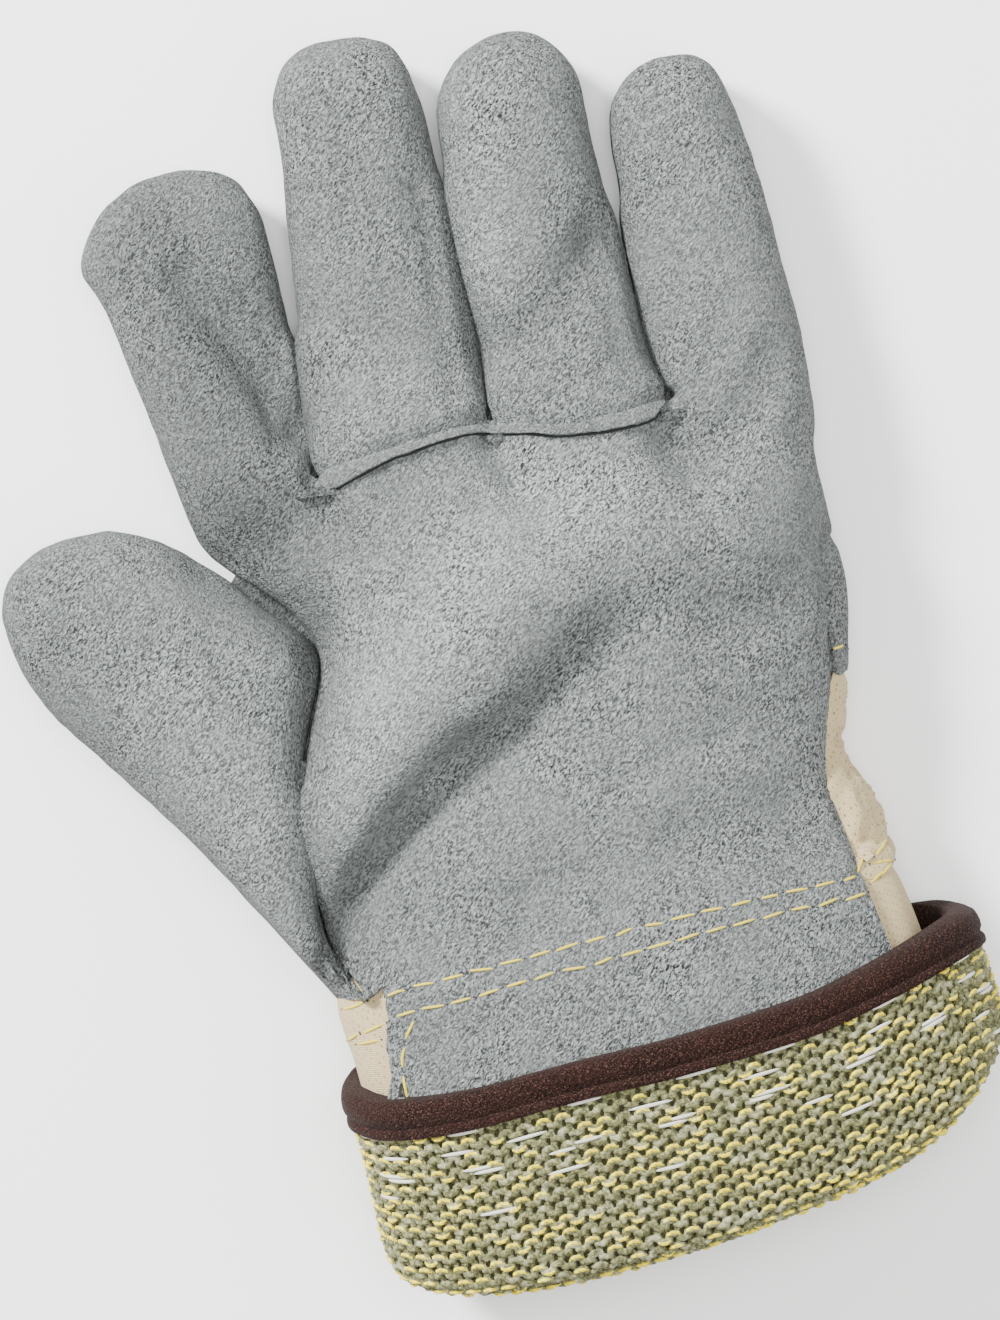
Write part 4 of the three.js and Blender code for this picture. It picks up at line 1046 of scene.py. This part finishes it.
class GLOVE_OT_leather(bpy.types.Operator):
    """Build the leather pieces of the hand, the fingers and the thumb"""

    bl_idname = "glove.leather"
    bl_label = "Leather"

    def execute(self, context):
        settings = context.scene.glove_leather
        material = suede_finish(settings)
        for node in LEATHER_PIECES:
            raw_below = (49, 56) if node == "knuckle_strap" else (-1.5, 1.5)
            obj, points, normals, distance, nearest = build_sheet(
                node, settings.thickness, settings.levels, settings, raw_below
            )
            if node == "knuckle_strap":
                raw = 1 - fade(height_on_hand(points[nearest]), *raw_below)
                lift = (1 - fade(distance, 1, 9)) * raw * 0.25
                points = points + normals * lift[:, None]
            for line in PALM_STITCHES:
                gap, _, _ = line_distance(points[:, :2], line)
                dent = 0.4 * np.exp(-((gap / 1.1) ** 2)) * (normals[:, 2] > 0.2)
                points -= normals * dent[:, None]
            if node == "palm_leather":
                points = self.straighten_strip(points)
            # Painted light and shade on the leather, partly the nap's tone.
            write_painted_shade(obj, painted_palm_shade(points, normals))
            settle(obj, points)
            thicken(obj, settings.thickness)
            shade(obj)
            finish_piece(obj, material, "split_leather", node)
        return {"FINISHED"}

    def straighten_strip(self, points):
        """Brings the left edge of the strip over the cuff further out, along the cuff's canvas."""
        cuff = copy_of("cuff_canvas", "Measured")
        tree = BVHTree.FromObject(cuff, bpy.context.evaluated_depsgraph_get())
        bpy.data.objects.remove(cuff)
        left, up = (points[:, :2] - HAND_ORIGIN).T
        shift = np.interp(-up, (0, 3, 6, 10, 14, 19, 25, 32), (0, -0.3, -1.2, -2.7, -4.3, -5.5, -6.1, -6.3))
        shift *= 1 - fade(left, -50, -12)
        for i in np.flatnonzero(shift < -0.02):
            start, end = Vector(points[i]) * MM, Vector(points[i] + (shift[i], 0, 0)) * MM
            _, _, _, off = tree.find_nearest(start)
            spot, normal, _, _ = tree.find_nearest(end)
            points[i] = np.array(spot + normal * off) / MM
        return points


def top_finder():
    """A function that finds how high the leather lies at places, without its sudden drops."""
    look = [obj for obj in bpy.data.objects if obj.name.endswith("Look")]
    trees = [BVHTree.FromObject(obj, bpy.context.evaluated_depsgraph_get()) for obj in look]
    lowest_top, window, deepest_cut = 15, 9, 0.6

    def top_of(plan):
        drops = [[tree.ray_cast(Vector((*point, ABOVE)) * MM, Vector(DOWN))[0] for tree in trees] for point in plan]
        height = np.array([max([hit.z / MM for hit in hits if hit is not None] or [0.0]) for hits in drops])
        good = height > lowest_top
        height = np.interp(np.arange(len(plan)), np.flatnonzero(good), height[good])
        soft = np.convolve(np.pad(height, window // 2, mode="edge"), np.ones(window) / window, mode="valid")
        return np.maximum(soft, height - deepest_cut)

    return top_of


class GLOVE_OT_welt(bpy.types.Operator):
    """Build the raw-edged seam across the base of the middle and ring fingers"""

    bl_idname = "glove.welt"
    bl_label = "Finger Base Seam"

    def execute(self, context):
        settings = context.scene.glove_leather
        stations = 150
        low, high = (
            curve_through(placed(line), np.linspace(0, len(line) - 1, stations), False)
            for line in (WELT_LOW, WELT_HIGH)
        )
        low += lumps(np.column_stack([low, np.zeros(stations)]), 2.6, 22)[:, None] * np.array([0, 0.22])
        top_of = top_finder()
        base_low, base_high = top_of(low), top_of(high)
        ring = []
        for share, height in WELT_PROFILE:
            plan = high + (low - high) * share
            level = base_high + (base_low - base_high) * np.clip(share, 0, 1)
            ring.append(np.column_stack([plan, level + height]))
        ring = np.stack(ring, axis=1)
        ends = np.minimum(np.arange(stations), np.arange(stations)[::-1]) / 5
        middle = ring.mean(axis=1, keepdims=True)
        ring = middle + (ring - middle) * np.clip(0.55 + 0.45 * ends, 0, 1)[:, None, None]
        sides = ring.shape[1]
        faces = ring_quads(stations, sides, False)[0].tolist()
        faces += [list(range(sides))[::-1], list(range((stations - 1) * sides, stations * sides))]
        obj = piece_from("FingerBaseSeam", ring.reshape(-1, 3), faces)
        face_outwards(obj)
        apply_modifier(obj, subdivide(obj, 2))
        points, normals = surface_of(obj)
        ragged = lumps(points, 1.1, 21) * 0.12 + lumps(points, 3.5, 22) * 0.15
        move_vertices(obj.data, points + normals * ragged[:, None])
        from_top, _, _ = line_distance(points[:, :2], WELT_HIGH)
        # Painted highlight: the raw edge is painted lighter along its upper edge.
        write_painted_shade(obj, 0.44 + 0.24 * np.exp(-((from_top / 0.7) ** 2)))
        shade(obj)
        finish_piece(obj, suede_finish(settings, "Raw Leather Edge", 0.86, 0.65), "split_leather", "finger_base_welt")
        under = Strands()
        path = np.column_stack([low - [0, 0.3], base_low + 0.05])[4:-4]
        under.add(path, np.tile(UP, (len(path), 1)), 0.34, 8)
        shadow = under.object("UnderTheSeam")
        finish_piece(shadow, Finish("Seam Shadow", (0.02, 0.021, 0.021), 1.0).material, "split_leather")
        return {"FINISHED"}


class GLOVE_OT_partings(bpy.types.Operator):
    """Build the leather deep in the partings of the fingers and in the thumb's seam"""

    bl_idname = "glove.partings"
    bl_label = "Partings"

    def execute(self, context):
        settings = context.scene.glove_leather
        leather = bpy.data.materials["Split Leather"]
        self.between_fingers(settings, leather)
        stations = 80
        line = curve_through(placed(THUMB_SEAM), np.linspace(3.8, len(THUMB_SEAM) - 1.05, stations), False)
        top_of = top_finder()
        level = np.minimum(*(top_of(line + np.array([step, 0])) for step in (-5.0, 5.0)))
        wrist = np.clip((np.arange(stations) - 60) / 19, 0, 1)
        strand = Strands()
        path = np.column_stack([line, level - 7.5 + 5.6 * wrist])
        strand.add(path, np.tile(UP, (stations, 1)), 2.4 - 1.1 * wrist, 12)
        inside = strand.object("ThumbSeamInside")
        # Painted shade: the leather deep in the thumb's crease is painted darker.
        write_painted_shade(inside, 0.2)
        finish_piece(inside, leather, "split_leather")
        return {"FINISHED"}

    def between_fingers(self, settings, leather):
        """The leather of each parting: a sheet along its floor, and one that stands up at its lowest place."""
        sheets = []
        for number, (bottom, far) in enumerate(PARTINGS * 2):
            upright, by_thumb = number >= len(PARTINGS), (bottom, far) == PARTINGS[-1]
            bpy.ops.object.select_all(action="DESELECT")
            bpy.ops.mesh.primitive_grid_add(x_subdivisions=16, y_subdivisions=8, size=1)
            sheet = bpy.context.active_object
            sheet.name = f"Parting{number + 1}"
            points = vertices_of(sheet.data) * MM
            start, end = placed((bottom, far))
            ahead = (end - start) / np.linalg.norm(end - start)
            sideways = np.array([ahead[1], -ahead[0]])
            along, across = points[:, 0] + 0.5, points[:, 1] * 2
            if upright:
                reach = -3.5 + 1.5 * np.sin(along * math.pi)
                height = 3 + (13 if by_thumb else 22) * along
                across = across * (0.5 if by_thumb else 1)
            elif by_thumb:
                reach = -4 + 26 * along
                height = 10 - 5 * along
            else:
                reach = -4 + (26 + 3 * across**2) * along
                height = 19 - 5.5 * along - 2.2 * (1 - across**2)
            plan = start + reach[:, None] * ahead + (across * 5.5)[:, None] * sideways
            move_vertices(sheet.data, np.column_stack([plan, height]))
            # Painted shade: the leather deep in the partings is painted much darker.
            write_painted_shade(sheet, 0.12)
            thicken(sheet, settings.thickness)
            sheets.append(sheet)
        bpy.ops.object.select_all(action="DESELECT")
        for sheet in sheets:
            sheet.select_set(True)
        bpy.context.view_layer.objects.active = sheets[0]
        bpy.ops.object.join()
        sheets[0].name = "FingerPartings"
        shade(sheets[0])
        finish_piece(sheets[0], leather, "split_leather")


class GLOVE_OT_canvas(bpy.types.Operator):
    """Build the canvas back, gathered at the wrist, and the canvas of the cuff"""

    bl_idname = "glove.canvas"
    bl_label = "Canvas"

    def execute(self, context):
        settings = context.scene.glove_cloth
        leather = context.scene.glove_leather
        material = canvas_finish(settings)
        grid = swept_grid("cuff_canvas")
        columns = 216
        fine, girth = even_columns(grid, 2, columns)
        rows = grid.shape[1]
        fine = curve_through(fine.transpose(1, 0, 2), np.linspace(0, rows, rows * 3, endpoint=False), True)
        fine = fine.transpose(1, 0, 2)
        faces, uvs = ring_surface(fine, (girth / columns, 1.0))
        lengths = np.linalg.norm(np.diff(fine, axis=1, append=fine[:, :1]), axis=2).mean(axis=0)
        upwards = np.concatenate([[0], np.cumsum(lengths)])
        uvs[:, 1] = upwards[np.round(uvs[:, 1]).astype(int)]
        cuff = piece_from("CuffCanvas", fine.reshape(-1, 3), faces, uvs * MM)
        face_outwards(cuff)
        points, normals = surface_of(cuff)
        slack = lumps(points * np.array([1, 0.35, 1]), 6, 41) * 0.35
        up = height_on_hand(points)
        right = fade(points[:, 0] - HAND_ORIGIN[0], 40, 62) * fade(up, -45, -20)
        left = -2.4 * fade(HAND_ORIGIN[0] - points[:, 0], 40, 56) * fade(up, -33, -25) * fade(points[:, 2], 11, 20)
        points = points + normals * slack[:, None]
        points[:, 0] += right * 1.7 + left
        move_vertices(cuff.data, points)
        shade(cuff)
        finish_piece(cuff, material, "canvas", "cuff_canvas")

        obj, points, normals, distance, nearest = build_sheet("back_canvas", CANVAS_WALL, 3, leather)
        self.unwrap(obj, points)
        up = height_on_hand(points)
        across = points[:, 0] + np.where(points[:, 0] > 17, 1, -1) * points[:, 2]
        wander = lumps(points, 14, 31) * 2.2
        ridge = np.abs(np.sin((across + wander) / settings.gather_pitch * math.pi)) ** 0.8 - 0.5
        strength = np.exp(-(((up - 6) / 12) ** 2)) * settings.gather_height + 0.12
        tuck = (1 - fade(distance, 0, 4)) * fade(height_on_hand(points[nearest]), 20, 30) * 0.5
        height = ridge * strength * fade(distance, 0, 2.5) * 1.6 - tuck
        right = fade(normals[:, 0], 0.0, 0.6) * (points[:, 0] > 40)
        ups = (-2, 0, 3, 7, 13, 18.3, 22, 24, 30.6, 33, 42)
        height += right * np.interp(up, ups, (0.0, 0.0, -0.6, -1.2, 0.2, 0.5, -0.6, -1.2, -1.3, 0.2, 1.0))
        slant = np.sin((up * 0.55 + points[:, 2] * 0.9 + lumps(points, 5, 33) * 1.6) / 2.9 * 2 * math.pi)
        height += right * slant * 0.55 * fade(up, 5, 10) * (1 - fade(up, 34, 46))
        points = points + normals * height[:, None]
        tree = BVHTree.FromObject(cuff, context.evaluated_depsgraph_get())
        shift = np.zeros_like(points)
        for i in np.unique(nearest[points[nearest][:, 1] < HAND_ORIGIN[1] + 6]):
            spot, normal, _, _ = tree.find_nearest(Vector(points[i]) * MM)
            shift[i] = np.array(spot + normal * 0.0002) / MM - points[i]
        points += shift[nearest] * (1 - fade(distance, 0, 12))[:, None]
        settle(obj, points, 0.1)
        thicken(obj, CANVAS_WALL)
        shade(obj)
        finish_piece(obj, material, "canvas", "back_canvas")
        return {"FINISHED"}

    def unwrap(self, obj, points):
        """Lays the sheet flat for its weave, at its real size."""
        edit_mesh(obj, bpy.ops.uv.unwrap, method="ANGLE_BASED", margin=0)
        layer = obj.data.uv_layers.active.data
        uvs = np.empty(len(layer) * 2)
        layer.foreach_get("uv", uvs)
        uvs = uvs.reshape(-1, 2)
        corner = np.empty(len(obj.data.loops), dtype=int)
        obj.data.loops.foreach_get("vertex_index", corner)
        flat = points[corner][:, :2]
        low = points[corner][:, 2] < 3
        moved = flat[low] - flat[low].mean(axis=0)
        centred = uvs[low] - uvs[low].mean(axis=0)
        fit, *_ = np.linalg.lstsq(centred, moved, rcond=None)
        layer.foreach_set("uv", ((uvs - uvs[low].mean(axis=0)) @ fit * MM).ravel())


class GLOVE_OT_knit(bpy.types.Operator):
    """Knit the lining, course by course, with its yellow strand"""

    bl_idname = "glove.knit"
    bl_label = "Knit Lining"

    def execute(self, context):
        settings = context.scene.glove_knit
        knit = KnitSurface()
        rng = np.random.default_rng(settings.seed)
        # Painted shade: the backing is painted far darker than the yarn, for the shade between the loops.
        dark, darker = shade_of(settings.color, 0.3), shade_of(settings.color, 0.12)
        finish_piece(self.backing(knit), yarn_finish("Lining Backing", dark, darker, dark), "knit", "cuff_lining")
        yarn = yarn_finish("Blended Yarn", settings.color, shade_of(settings.color, 0.25), (0.42, 0.42, 0.26))
        accent = yarn_finish("Yellow Yarn", settings.accent, shade_of(settings.accent, 0.75), (0.95, 0.84, 0.16))
        parts = (
            ("KnitTurnedBack", 0, FOLD_START, 12, 5),
            ("KnitFold", FOLD_START, FOLD_END, 12, 5),
            ("KnitInside", FOLD_END, settings.courses - 1, 8, 4),
        )
        yellow = Strands()
        for name, first, last, samples, sides in parts:
            strands = Strands()
            for course in range(first, last):
                path, facing = loop_course(knit, settings, course, samples)
                thickness = settings.yarn_radius * (1 + 0.14 * lumps(path, 1.5, 51))
                strands.add(path, facing, thickness, sides, closed=True)
                if course < FOLD_END:
                    self.accents(yellow, knit, settings, course, rng)
            finish_piece(strands.object(name), yarn, "knit")
        finish_piece(yellow.object("KnitYellow"), accent, "knit")
        return {"FINISHED"}

    def backing(self, knit):
        """The lining's wall behind the yarn, set back so that it shows only between the loops, painted dark as the
        shade there.
        """
        columns, rows = knit.closed.shape[:2]
        half = rows // 2
        points = knit.closed.copy()
        other = points[:, half:][:, ::-1]
        set_back = 0.62
        points[:, :half] += (other - points[:, :half]) * set_back
        fine = curve_through(points, np.linspace(0, columns, columns * 4, endpoint=False), True)
        faces, uvs = ring_surface(fine, (2.3, 2.3))
        obj = piece_from("LiningBacking", fine.reshape(-1, 3), faces, uvs * MM)
        face_outwards(obj)
        shade(obj)
        return obj

    def accents(self, yellow, knit, settings, course, rng):
        """Short bends of the yellow strand, where it comes to the front of a loop."""
        samples = 7
        for wale in range(settings.wales):
            if rng.random() > (0.62 if course < 5 else 0.88):
                continue
            low = rng.random() < 0.78
            middle = math.pi if low else 0.0
            reach = rng.uniform(1.0, 1.6) if low else rng.uniform(0.7, 1.2)
            turn = middle + np.linspace(-reach, reach, samples) + wale * 2 * math.pi
            rise = settings.loop_height * np.cos(turn) + (-0.13 if low else 0.1)
            share = (course + FIRST_COURSE + rise) / settings.courses
            points, normals = knit.at(loop_place(turn) / settings.wales, share)
            lift = settings.loop_depth * np.cos(2 * turn) - settings.yarn_sink + settings.yarn_radius * 0.78
            taper = np.sin(np.linspace(0.12, 0.88, samples) * math.pi)
            path = points + normals * (lift - 0.25 * (1 - taper))[:, None]
            yellow.add(path, normals, 0.42 * taper + 0.05, 5)


class GLOVE_OT_binding(bpy.types.Operator):
    """Build the binding tape, folded over the hem of the turned-back cuff"""

    bl_idname = "glove.binding"
    bl_label = "Binding"

    def execute(self, context):
        settings = context.scene.glove_cloth
        grid = swept_grid("cuff_binding")
        rows = grid.shape[1]
        top = grid[9]
        high = [k for k in range(rows) if top[k, 2] > top[:, 2].max() - 0.5]
        start = min(high, key=lambda k: top[k, 1])
        after = (start + 1) % rows
        step = 1 if after in high else -1
        order = [(start + step * k) % rows for k in range(rows)]
        grid = grid[:, order]
        columns = 300
        fine, girth = even_columns(grid, 0, columns)
        places, heights = self.profile()
        ring = curve_through_corners(fine, places)
        away = np.cross(np.roll(ring, -1, axis=0) - ring, np.gradient(ring, axis=1))
        away /= np.linalg.norm(away, axis=2, keepdims=True) + 1e-9
        if away[columns // 4, 3, 2] < 0:
            away = -away
        flat = ring.reshape(-1, 3)
        waver = (1 + 0.25 * lumps(flat, 9, 61) + 0.15 * lumps(flat, 3, 62)).reshape(ring.shape[:2])
        ring = ring + away * (heights[None, :] * waver)[..., None]
        upwards = fine[:, 1:2] - fine[:, :1]
        length = np.linalg.norm(upwards, axis=2, keepdims=True)
        share = np.sum((ring - fine[:, :1]) * upwards / length**2, axis=2, keepdims=True)
        ring = ring + upwards * np.clip(1 - share, 0, 1.2) * settings.binding_shortening
        ring = cuff_wave(ring)
        faces, uvs = ring_surface(ring, (girth / columns, 0.75))
        obj = piece_from("BindingTape", ring.reshape(-1, 3), faces, uvs * MM)
        face_outwards(obj)
        settle(obj, vertices_of(obj.data), 0.05)
        shade(obj, 50)
        finish_piece(obj, binding_finish(settings), "binding_tape", "cuff_binding")
        return {"FINISHED"}

    def profile(self):
        """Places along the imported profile, and how far each stands out: a groove by the lower edge, then a bulge."""
        lower = (
            (0.0, 0.0), (0.07, 0.2), (0.18, 0.2), (0.26, -0.1), (0.32, -0.5), (0.38, -0.25), (0.48, 0.25),
            (0.62, 0.45), (0.78, 0.4), (0.92, 0.1), (0.99, -0.1),
        )
        rim = [(corner, -0.25) for corner in (1.5, 2, 2.5, 3, 3.5)]
        underside = ((0.05, 0), (0.3, 0.2), (0.6, 0.2), (0.8, -0.2), (0.95, 0))
        inner = [(4 + share, height * 0.6) for share, height in underside]
        rest = [(corner / 2, 0.0) for corner in range(10, 22)]
        return np.array([*lower, *rim, *inner, *rest]).T


def curve_through_corners(grid, places):
    """Points at fractional places along a grid's profile, straight between its corners."""
    rows = grid.shape[1]
    at = np.floor(places).astype(int) % rows
    part = (places - np.floor(places))[None, :, None]
    return grid[:, at] * (1 - part) + grid[:, (at + 1) % rows] * part


ShortStitch = namedtuple("ShortStitch", "length spacing radius")


class GLOVE_OT_stitches(bpy.types.Operator):
    """Sew the stitch rows of the wrist, the strap and the canvas, and the pale thread in the knit"""

    bl_idname = "glove.stitches"
    bl_label = "Stitches"

    def execute(self, context):
        settings = context.scene.glove_threads
        sewn_through = [obj for obj in bpy.data.objects if obj.name.endswith("Look") or obj.name == "CuffCanvas"]
        self.trees = [BVHTree.FromObject(obj, context.evaluated_depsgraph_get()) for obj in sewn_through]
        yellow = Strands()
        self.holes = Strands()
        self.rng = np.random.default_rng(17)
        for line in PALM_STITCHES:
            self.sew(yellow, settings, placed(line), self.from_above)
        self.strap_row(yellow, settings)
        self.gather_rows(yellow, settings)
        finish_piece(yellow.object("YellowStitches"), thread_finish("Yellow Thread", settings.color), "split_leather")
        # Painted shade: the needle holes are small dark plugs sunk into the surface.
        hole = Finish("Needle Hole", (0.03, 0.028, 0.026), 1.0)
        finish_piece(self.holes.object("NeedleHoles"), hole.material, "split_leather")
        pale = Strands()
        self.knit_thread(pale)
        finish_piece(pale.object("PaleThread"), thread_finish("Pale Thread", settings.pale), "knit")
        return {"FINISHED"}

    def seat(self, origin, way):
        """Where a ray first meets the glove, and the surface's normal there."""
        hits = [tree.ray_cast(Vector(origin) * MM, Vector(way)) for tree in self.trees]
        hits = [hit for hit in hits if hit[0] is not None]
        if not hits:
            return None
        spot, normal, _, _ = min(hits, key=lambda hit: hit[3])
        return np.array(spot) / MM, np.array(normal)

    def from_above(self, point):
        return self.seat((point[0], point[1], ABOVE), DOWN)

    def from_below(self, point):
        return self.seat((point[0], point[1], BELOW), UP)

    def from_right(self, point):
        """The places of such a row are heights over the floor and places up the hand."""
        return self.seat((BESIDE, point[1], point[0]), LEFT)

    def stitches_along(self, line, settings):
        """The stitches along a line: each is a few places from its start to its end."""
        line = np.array(line, dtype=float)
        steps = np.concatenate([[0], np.cumsum(np.linalg.norm(np.diff(line, axis=0), axis=1))])
        at = 0.0
        while at + min(settings.length * 0.6, steps[-1] * 0.9) < steps[-1]:
            far = np.linspace(at, min(at + settings.length, steps[-1]), 7)
            stitch = np.stack([np.interp(far, steps, line[:, axis]) for axis in range(line.shape[1])], axis=1)
            lean = np.linspace(-1, 1, 7)[:, None] * self.rng.normal(0, 0.22, 2)
            yield stitch + lean
            at += settings.length + settings.spacing + self.rng.uniform(-0.35, 0.35)

    def sew(self, strands, settings, line, seat):
        """Sews a row of stitches with a needle hole of painted shade at each end, seated on the surface that a ray
        finds.
        """
        for stitch in self.stitches_along(line, settings):
            seats = [seat(point) for point in stitch]
            if any(found is None for found in seats):
                continue
            points, normals = (np.array(values) for values in zip(*seats))
            arch = np.sin(np.linspace(0, 1, len(points)) * math.pi)
            path = points + normals * (arch**0.5 * settings.radius * 1.1 - 0.25)[:, None]
            strands.add(path, normals, settings.radius * (0.35 + 0.65 * arch**0.4), 6)
            ahead = points[-1] - points[0]
            ahead /= np.linalg.norm(ahead) + 1e-9
            for end, way in ((points[0], -ahead), (points[-1], ahead)):
                spot = end + way * (0.1 + np.linspace(0, 0.5, 3))[:, None] - normals[0] * 0.16
                self.holes.add(spot, normals[0], np.array([0.1, 0.3, 0.12]), 6)

    def strap_row(self, strands, settings):
        """One row above the strap's lower edge, from its left end round the back to the side seam."""
        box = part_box("knuckle_strap")
        left, right = box[0][0] / MM + 6, box[1][0] / MM
        up = HAND_ORIGIN[1] + 50.5
        self.sew(strands, settings, [(left, up - 1.5), (17, up), (right - 8, up - 1)], self.from_below)
        side = [(1.0, up - 1), (13.0, up - 1.3)]
        self.sew(strands, settings, side, lambda point: self.from_right((point[0] + 2, point[1])))
        self.sew(strands, settings, placed(((62.4, 50.0), (65.8, 50.0))), self.from_above)

    def gather_rows(self, strands, settings):
        """Zigzag rows over the elastic at the wrist, across the back and up the side."""
        short = ShortStitch(length=3.4, spacing=0.25, radius=settings.radius)
        for up in (1.5, 8.5):
            middle = HAND_ORIGIN[1] + up
            back, side = np.arange(-38, 82, 2.6), [4 + 2.4 * count for count in range(6)]
            for places, seat in ((back, self.from_below), (side, self.from_right)):
                line = [(place, middle + (1.6 if count % 2 else -1.6)) for count, place in enumerate(places)]
                for ends in zip(line, line[1:]):
                    self.sew(strands, short, ends, seat)

    def knit_thread(self, strands):
        """A pale thread that comes up over two loops at a time in some courses of the knit."""
        knit = KnitSurface()
        knitting = bpy.context.scene.glove_knit
        rng = np.random.default_rng(3)
        for course in (1, 2, 3, 4, 5, 6, 8):
            at = rng.uniform(0, 3)
            while at < knitting.wales - 2:
                loops = rng.uniform(1.4, 2.3)
                turn = np.linspace(at, at + loops, 9) / knitting.wales
                share = np.full(9, (course + FIRST_COURSE + 0.4 * math.sin(course * 2.1)) / knitting.courses)
                points, normals = knit.at(turn, share)
                arch = np.sin(np.linspace(0, 1, 9) * math.pi)
                path = points + normals * (arch**0.5 * 0.75 - 0.45)[:, None]
                strands.add(path, normals, 0.45 * (0.3 + 0.7 * arch**0.5), 6)
                at += loops + rng.uniform(1.6, 5.0 if course < 6 else 14)


class GLOVE_OT_stage(bpy.types.Operator):
    """Lay out the pale floor, the soft lights and the camera above the palm"""

    bl_idname = "glove.stage"
    bl_label = "Stage"

    def execute(self, context):
        bpy.ops.object.select_all(action="DESELECT")
        bpy.ops.mesh.primitive_plane_add(size=6, location=(0, 0, 0))
        floor = context.active_object
        floor.name = "Floor"
        finish = Finish("Pale Floor", (0.96, 0.96, 0.96), 0.8)
        floor.data.materials.append(finish.material)
        world = bpy.data.worlds.new("Studio")
        context.scene.world = world
        world.use_nodes = True
        world.node_tree.nodes["Background"].inputs["Color"].default_value = (1, 1, 1, 1)
        world.node_tree.nodes["Background"].inputs["Strength"].default_value = 0.77
        lights = (
            ("Key", (-0.85, 1.0, 0.85), 0.35, 80.0),
            ("Fill", (0.9, -0.5, 1.0), 1.2, 10.0),
            ("Top", (0.1, 0.1, 1.8), 0.8, 32.0),
        )
        for name, where, size, power in lights:
            bpy.ops.object.light_add(type="AREA", location=where)
            light = context.active_object
            light.name = name
            light.data.size = size
            light.data.energy = power
            light.rotation_euler = (-Vector(where)).to_track_quat("-Z", "Y").to_euler()
        bpy.ops.object.camera_add(location=(0.0075, -0.004, 1.213), rotation=(0, 0, math.radians(-13)))
        camera = context.active_object
        camera.data.sensor_fit = "VERTICAL"
        camera.data.sensor_height = 24
        camera.data.lens = 96.97
        camera.data.clip_end = 20
        context.scene.camera = camera
        return {"FINISHED"}


class GLOVE_PT_panel(bpy.types.Panel):
    """Settings and steps of the glove"""

    bl_label = "Glove"
    bl_idname = "GLOVE_PT_panel"
    bl_space_type = "VIEW_3D"
    bl_region_type = "UI"
    bl_category = "Glove"

    def draw(self, context):
        layout = self.layout
        for settings in SETTINGS:
            group = getattr(context.scene, settings)
            box = layout.box()
            for name in group.bl_rna.properties.keys():
                if name not in {"rna_type", "name"}:
                    box.prop(group, name)
        for step in STEPS:
            layout.operator(step.bl_idname)


STEPS = (
    GLOVE_OT_leather,
    GLOVE_OT_welt,
    GLOVE_OT_partings,
    GLOVE_OT_canvas,
    GLOVE_OT_knit,
    GLOVE_OT_binding,
    GLOVE_OT_stitches,
    GLOVE_OT_stage,
)
SETTINGS = {
    "glove_leather": GloveLeatherSettings,
    "glove_cloth": GloveClothSettings,
    "glove_knit": GloveKnitSettings,
    "glove_threads": GloveThreadSettings,
}


def register():
    for group in (*SETTINGS.values(), *STEPS, GLOVE_PT_panel):
        bpy.utils.register_class(group)
    for name, group in SETTINGS.items():
        setattr(bpy.types.Scene, name, PointerProperty(type=group))


def unregister():
    for name in SETTINGS:
        delattr(bpy.types.Scene, name)
    for group in reversed((*SETTINGS.values(), *STEPS, GLOVE_PT_panel)):
        bpy.utils.unregister_class(group)


def main():
    register()
    for step in (
        bpy.ops.glove.leather,
        bpy.ops.glove.welt,
        bpy.ops.glove.partings,
        bpy.ops.glove.canvas,
        bpy.ops.glove.knit,
        bpy.ops.glove.binding,
        bpy.ops.glove.stitches,
        bpy.ops.glove.stage,
    ):
        step()


if __name__ == "__main__":
    main()
